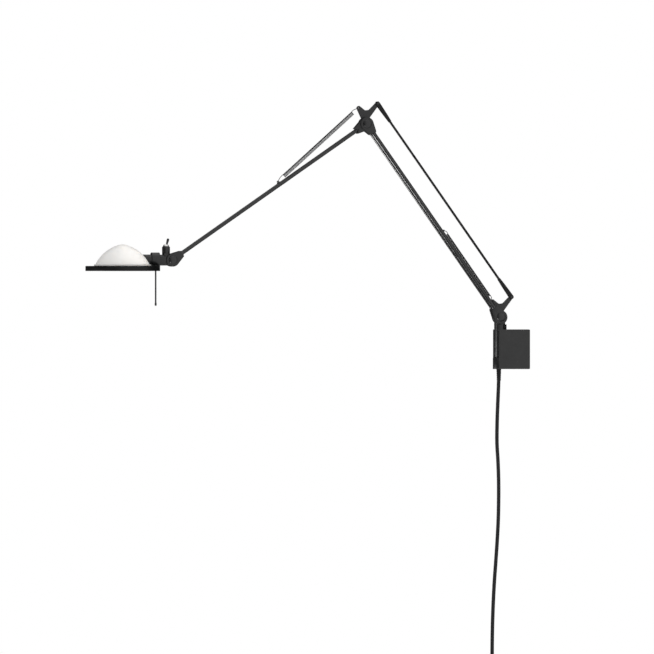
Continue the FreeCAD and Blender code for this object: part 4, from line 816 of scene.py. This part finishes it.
def make_screw_master():
    """A countersunk screw with a cross recess, its head up at the origin."""
    screw = turned("screw_master", [(0.0, 0.0), (0.0024, 0.0), (0.0028, -0.0001), (0.0015, -0.0013),
                                    (0.0015, -0.0050), (0.0, -0.0050)], sides=32)
    for quarter in (0.0, 90.0):
        deselect()
        bpy.ops.mesh.primitive_cube_add(size=1.0)
        blade = just_made("recess")
        blade.scale = (0.0030, 0.0005, 0.0018)
        blade.rotation_euler = (0, 0, math.radians(quarter + 45.0))
        apply_place(blade)
        cut_with(screw, blade)
    return smooth(screw, angle=30.0)


def place_housing_screws():
    """Two screws in the housing's underside and two in its top."""
    low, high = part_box("housing_screws")
    inset = 0.0028              # the radius of a screw's head
    master = make_screw_master()
    group = []
    for y in (low[1] + inset, high[1] - inset):
        for z, way in ((low[2], -1), (high[2], 1)):
            screw = one_more(master, "housing_screw")
            stood(screw, ((low[0] + high[0]) / 2, y, z), (0, 0, way))
            group.append(screw)
    bpy.data.objects.remove(master)
    fit_on(joined("housing_screw_set", group), "wall_bracket", STEEL, "plain_steel",
           "housing_screws")


place_housing_screws()


def make_switch_nut():
    """The bright cone nut on the switch's thread."""
    low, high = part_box("switch_nut")
    foot = (low[0] + high[0]) / 2
    outline = [(0.0032, 0.0), (0.0053, 0.0), (0.0057, 0.0003), (0.0056, 0.0009), (0.0041, 0.0031),
               (0.0038, 0.0035), (0.0034, 0.0034), (0.0032, 0.0030), (0.0032, 0.0)]
    nut = turned("cone_nut", outline, sides=64, angle=28.0)
    stood(nut, (foot, 0.0, low[2]), (0, 0, 1))
    fit_on(nut, "knuckle", NICKEL, "bright_steel", "switch_nut")


make_switch_nut()


def make_switch_lever():
    """The bat lever: a ball root, a slim stem and a rounded, slightly fuller end."""
    lean = math.radians(15.2)
    outline = [(0.0, -0.0024), (0.0012, -0.0021), (0.0021, -0.0012), (0.0024, 0.0),
               (0.0021, 0.0012), (0.0017, 0.0019), (0.0017, 0.0060), (0.0019, 0.0088),
               (0.0023, 0.0124), (0.0024, 0.0146), (0.00225, 0.0157), (0.0017, 0.0165),
               (0.0009, 0.0169), (0.0, 0.0170)]
    out, up = LEVER_PIVOT
    lever = turned("bat_lever", outline, sides=40, angle=45.0)
    stood(lever, WRIST + Vector((-out, 0.0, up)), (math.sin(lean), 0, math.cos(lean)))
    fit_on(lever, "lever", POLISHED, "black_gloss", "switch_lever")


make_switch_lever()


def make_handle_tip():
    """The handle's rounded plastic end."""
    low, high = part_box("handle_tip")
    r = (high[0] - low[0]) / 2
    tall = high[2] - low[2]
    outline = [(0.0, 0.0), (0.5 * r, 0.04 * tall), (0.86 * r, 0.16 * tall), (r, 0.36 * tall),
               (r, 0.94 * tall), (0.9 * r, tall), (0.0, tall)]
    tip = turned("rounded_tip", outline, sides=32, angle=40.0)
    stood(tip, ((low[0] + high[0]) / 2, 0.0, low[2]), (0, 0, 1))
    fit_on(tip, "head", BLACK_PLASTIC, "black_plastic", "handle_tip")


make_handle_tip()


# ---- pieces that keep their own shape, their edges rounded -----------------------------------
EASED = [                           # node, width of the rounding, body, finish, slot
    ("wall_plate", 0.0004, "wall_bracket", HOUSING, "black_satin"),
    ("bracket_housing", 0.0004, "wall_bracket", HOUSING, "black_satin"),
    ("base_block", 0.0006, "wall_bracket", SATIN, "black_satin"),
    ("thrust_washer", 0.0002, "wall_bracket", BLACK_PLASTIC, "black_plastic"),
    ("post_guide", 0.0004, "wall_bracket", SATIN, "black_satin"),
    ("cord_gland", 0.0005, "wall_bracket", BLACK_PLASTIC, "black_plastic"),
    ("swivel_post", 0.0005, "swivel", SATIN, "black_satin"),
    ("shoulder_horn_plate", 0.0005, "swivel", SATIN, "black_satin"),
    ("shoulder_rod_pin", 0.0003, "swivel", POLISHED, "black_gloss"),
    ("shoulder_fittings", 0.0006, "lower_arm", SATIN, "black_satin"),
    ("elbow_fittings", 0.0006, "lower_arm", SATIN, "black_satin"),
    ("lower_arm_ferrules", 0.0004, "lower_arm", DARK_STEEL, "dark_steel"),
    ("spring_bridge", 0.0004, "lower_arm", POLISHED, "black_gloss"),
    ("tie_rod_ends", 0.0004, "tie_rod", ROD_BLACK, "black_satin"),
    ("elbow_horn_plate", 0.0005, "elbow_bracket", SATIN, "black_satin"),
    ("elbow_rod_pin", 0.0003, "elbow_bracket", POLISHED, "black_gloss"),
    ("elbow_fork", 0.0006, "upper_arm", SATIN, "black_satin"),
    ("upper_arm_ferrules", 0.0004, "upper_arm", DARK_STEEL, "dark_steel"),
    ("spring_eye", 0.0003, "upper_arm", POLISHED, "black_gloss"),
    ("wrist_fork", 0.0006, "upper_arm", SATIN, "black_satin"),
    ("head_knuckle", 0.0004, "knuckle", SATIN, "black_satin"),
    ("lamp_barrel", 0.0004, "head", SATIN, "black_satin"),
    ("barrel_collar", 0.0005, "head", SATIN, "black_satin"),
    ("head_ring", 0.0007, "head", ROD_BLACK, "black_satin"),
]
for row in EASED:
    eased(*row)


# ---- plug and cord tie ------------------------------------------------------------------------

def block(name, low, high, ease=0.0, segments=2):
    """A block between two corners, its edges rounded."""
    deselect()
    bpy.ops.mesh.primitive_cube_add(size=1.0)
    piece = just_made(name)
    low, high = Vector(low), Vector(high)
    piece.scale = high - low
    piece.location = (low + high) / 2
    apply_place(piece)
    if ease:
        apply_modifier(piece, "BEVEL", width=ease, segments=segments, limit_method="NONE")
    return piece


def make_plug_body():
    """The moulded plug: soft edges, and finger grooves across both flat faces."""
    low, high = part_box("plug_body")
    body = eased("plug_body", 0.0012, "wall_bracket", BLACK_PLASTIC, "black_plastic",
                 segments=3)
    deep, wide, pitch = 0.0006, 0.0012, 0.0026
    margin = 0.006              # from the grooves' ends to the plug's sides
    for groove in range(6):
        z = low[2] + 0.0105 + pitch * groove
        for face, out in ((low[1], -1), (high[1], 1)):
            y0, y1 = sorted((face - out * deep, face + out * 0.002))
            cut_with(body, block("groove", (low[0] + margin, y0, z),
                                 (high[0] - margin, y1, z + wide)))
    smooth(body)


def make_cord_tie():
    """The flat tie round the coil, with its small buckle and the strap's end."""
    low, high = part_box("cord_tie")
    eased("cord_tie", 0.0005, "wall_bracket", BLACK_PLASTIC, "black_plastic", segments=3)
    middle = (low[0] + high[0]) / 2
    buckle = block("tie_buckle", (middle - 0.0035, low[1] - 0.0012, low[2] - 0.0008),
                   (middle + 0.0035, low[1] + 0.0010, high[2] + 0.0008), ease=0.0006, segments=3)
    tongue = block("tie_tongue", (middle + 0.0030, low[1] - 0.0006, low[2] + 0.0006),
                   (middle + 0.0090, low[1] + 0.0006, high[2] - 0.0006), ease=0.0004)
    for extra in (buckle, tongue):
        fit_on(smooth(extra), "wall_bracket", BLACK_PLASTIC, "black_plastic")


make_plug_body()
make_cord_tie()


# ---- lamp socket and bulb ---------------------------------------------------------------------
BULB_PIN_LENGTH = 0.0070
BULB_PIN_SIDE = 0.0032              # each pin's distance from the bulb's axis
BULB_WALL = 0.0008
FILAMENT_OUT = 0.021                # the filament's distance from the bulb's foot
FILAMENT_HALF = 0.0029
FILAMENT_RADIUS = 0.0007
FILAMENT_TURNS = 9


def make_socket():
    """The glazed socket: a grooved collar with a shallow seat for the bulb's foot."""
    low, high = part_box("lamp_socket")
    r = (high[1] - low[1]) / 2
    long = high[0] - low[0]
    outline = [(0.0, 0.0), (r - 0.0012, 0.0), (r - 0.0004, 0.0003), (r, 0.0012), (r, 0.34 * long),
               (r - 0.0009, 0.38 * long), (r - 0.0009, 0.48 * long), (r, 0.52 * long),
               (r, long - 0.0012), (r - 0.0004, long - 0.0003), (r - 0.0012, long),
               (0.0046, long), (0.0044, long - 0.0012), (0.0, long - 0.0012)]
    socket = turned("ceramic_socket", outline, sides=48, angle=30.0)
    middle = (low[2] + high[2]) / 2
    stood(socket, (high[0], 0.0, middle), (-1, 0, 0))
    fit_on(socket, "head", CERAMIC, "ceramic", "lamp_socket")


def make_bulb():
    """The bulb: a clear capsule with a pinched foot, its coiled filament and two pins."""
    low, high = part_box("halogen_bulb")
    foot = high[0] - BULB_PIN_LENGTH
    middle = (low[2] + high[2]) / 2
    r = (high[1] - low[1]) / 2
    long = foot - low[0]
    outline = [(0.0, 0.0), (0.0030, 0.0), (0.0042, 0.0006), (0.0045, 0.0040), (0.0046, 0.0060),
               (0.62 * r + 0.0016, 0.0085), (0.95 * r, 0.0115), (r, 0.0150)]
    outline += quarter_round(r, long - r, r, 7)
    bore = r - BULB_WALL
    inside = [(0.0, 0.0110), (0.55 * r, 0.0120), (bore, 0.0160)]
    inside += quarter_round(bore, long - r, bore, 5)
    shell = turned("bulb_envelope", outline, sides=48, angle=40.0)
    hollow = turned("bulb_hollow", inside, sides=48, angle=40.0)
    cut_with(shell, hollow)
    smooth(shell, angle=40.0)
    stood(shell, (foot, 0.0, middle), (-1, 0, 0))
    fit_on(shell, "head", QUARTZ, "clear_glass", "halogen_bulb")

    def place(out, y, up=0.0):
        return (foot - out, y, middle + up)

    wires = []
    for side in (-1, 1):
        y = side * BULB_PIN_SIDE
        wires.append(bent_wire("bulb_pin", [(high[0], y, middle), place(0.0, y),
                                            place(0.003, y)], 0.001))
        wires.append(bent_wire("bulb_lead", [place(0.002, y), place(0.012, 0.5 * y),
                                             place(0.017, y), place(FILAMENT_OUT, 0.9 * y)],
                               0.0004))
    pins = joined("bulb_pins_and_leads", wires)
    fit_on(pins, "head", STEEL, "plain_steel")
    steps = 10
    count = FILAMENT_TURNS * steps
    coil = []
    for i in range(count + 1):
        a = 2 * math.pi * i / steps
        y = -FILAMENT_HALF + 2 * FILAMENT_HALF * i / count
        coil.append(place(FILAMENT_OUT + FILAMENT_RADIUS * math.cos(a), y,
                          FILAMENT_RADIUS * math.sin(a)))
    filament = bent_wire("bulb_filament", coil, diameter=0.00022, sides=0)
    fit_on(filament, "head", FILAMENT, "dark_steel")


make_socket()
make_bulb()


# ---- transformer and terminals ----------------------------------------------------------------

def make_transformer():
    """The wound transformer: its own body with a broad band of tape over the windings."""
    low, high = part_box("transformer")
    eased("transformer", 0.0006, "wall_bracket", BLACK_PLASTIC, "black_plastic")
    proud, margin = 0.0002, 0.010
    front = high[0] - 0.0200
    band = block("winding_tape", (low[0] - proud, low[1] - proud, low[2] + margin),
                 (front, high[1] + proud, high[2] - margin), ease=0.0012, segments=3)
    fit_on(smooth(band), "wall_bracket", TAPE, "nylon")


def make_terminals():
    """The terminal block with a slotted clamp screw in each hole."""
    low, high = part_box("terminal_block")
    eased("terminal_block", 0.0003, "wall_bracket", GREY_PLASTIC, "grey_plastic")
    depth = high[0] - low[0]
    radius, tall = 0.00135, 0.0022
    master = turned("clamp_screw_master", [(0.0, 0.0), (0.0011, 0.0), (radius, -0.0003),
                                           (radius, -tall), (0.0, -tall)], sides=24)
    cut_with(master, block("slot", (-0.0020, -0.00025, -0.0007), (0.0020, 0.00025, 0.0010)))
    screws = []
    for y in (-0.008, 0.0, 0.008):
        for share in (0.3, 0.7):
            screw = one_more(master, "clamp_screw")
            screw.rotation_euler = (0, 0, 35.0 * share + 90.0 * y)      # each slot at its own turn
            screw.location = (high[0] - share * depth, y, low[2] + 0.0065)
            screws.append(apply_place(screw))
    bpy.data.objects.remove(master)
    fit_on(smooth(joined("clamp_screws", screws), angle=30.0), "wall_bracket", STEEL,
           "plain_steel")


make_transformer()
make_terminals()
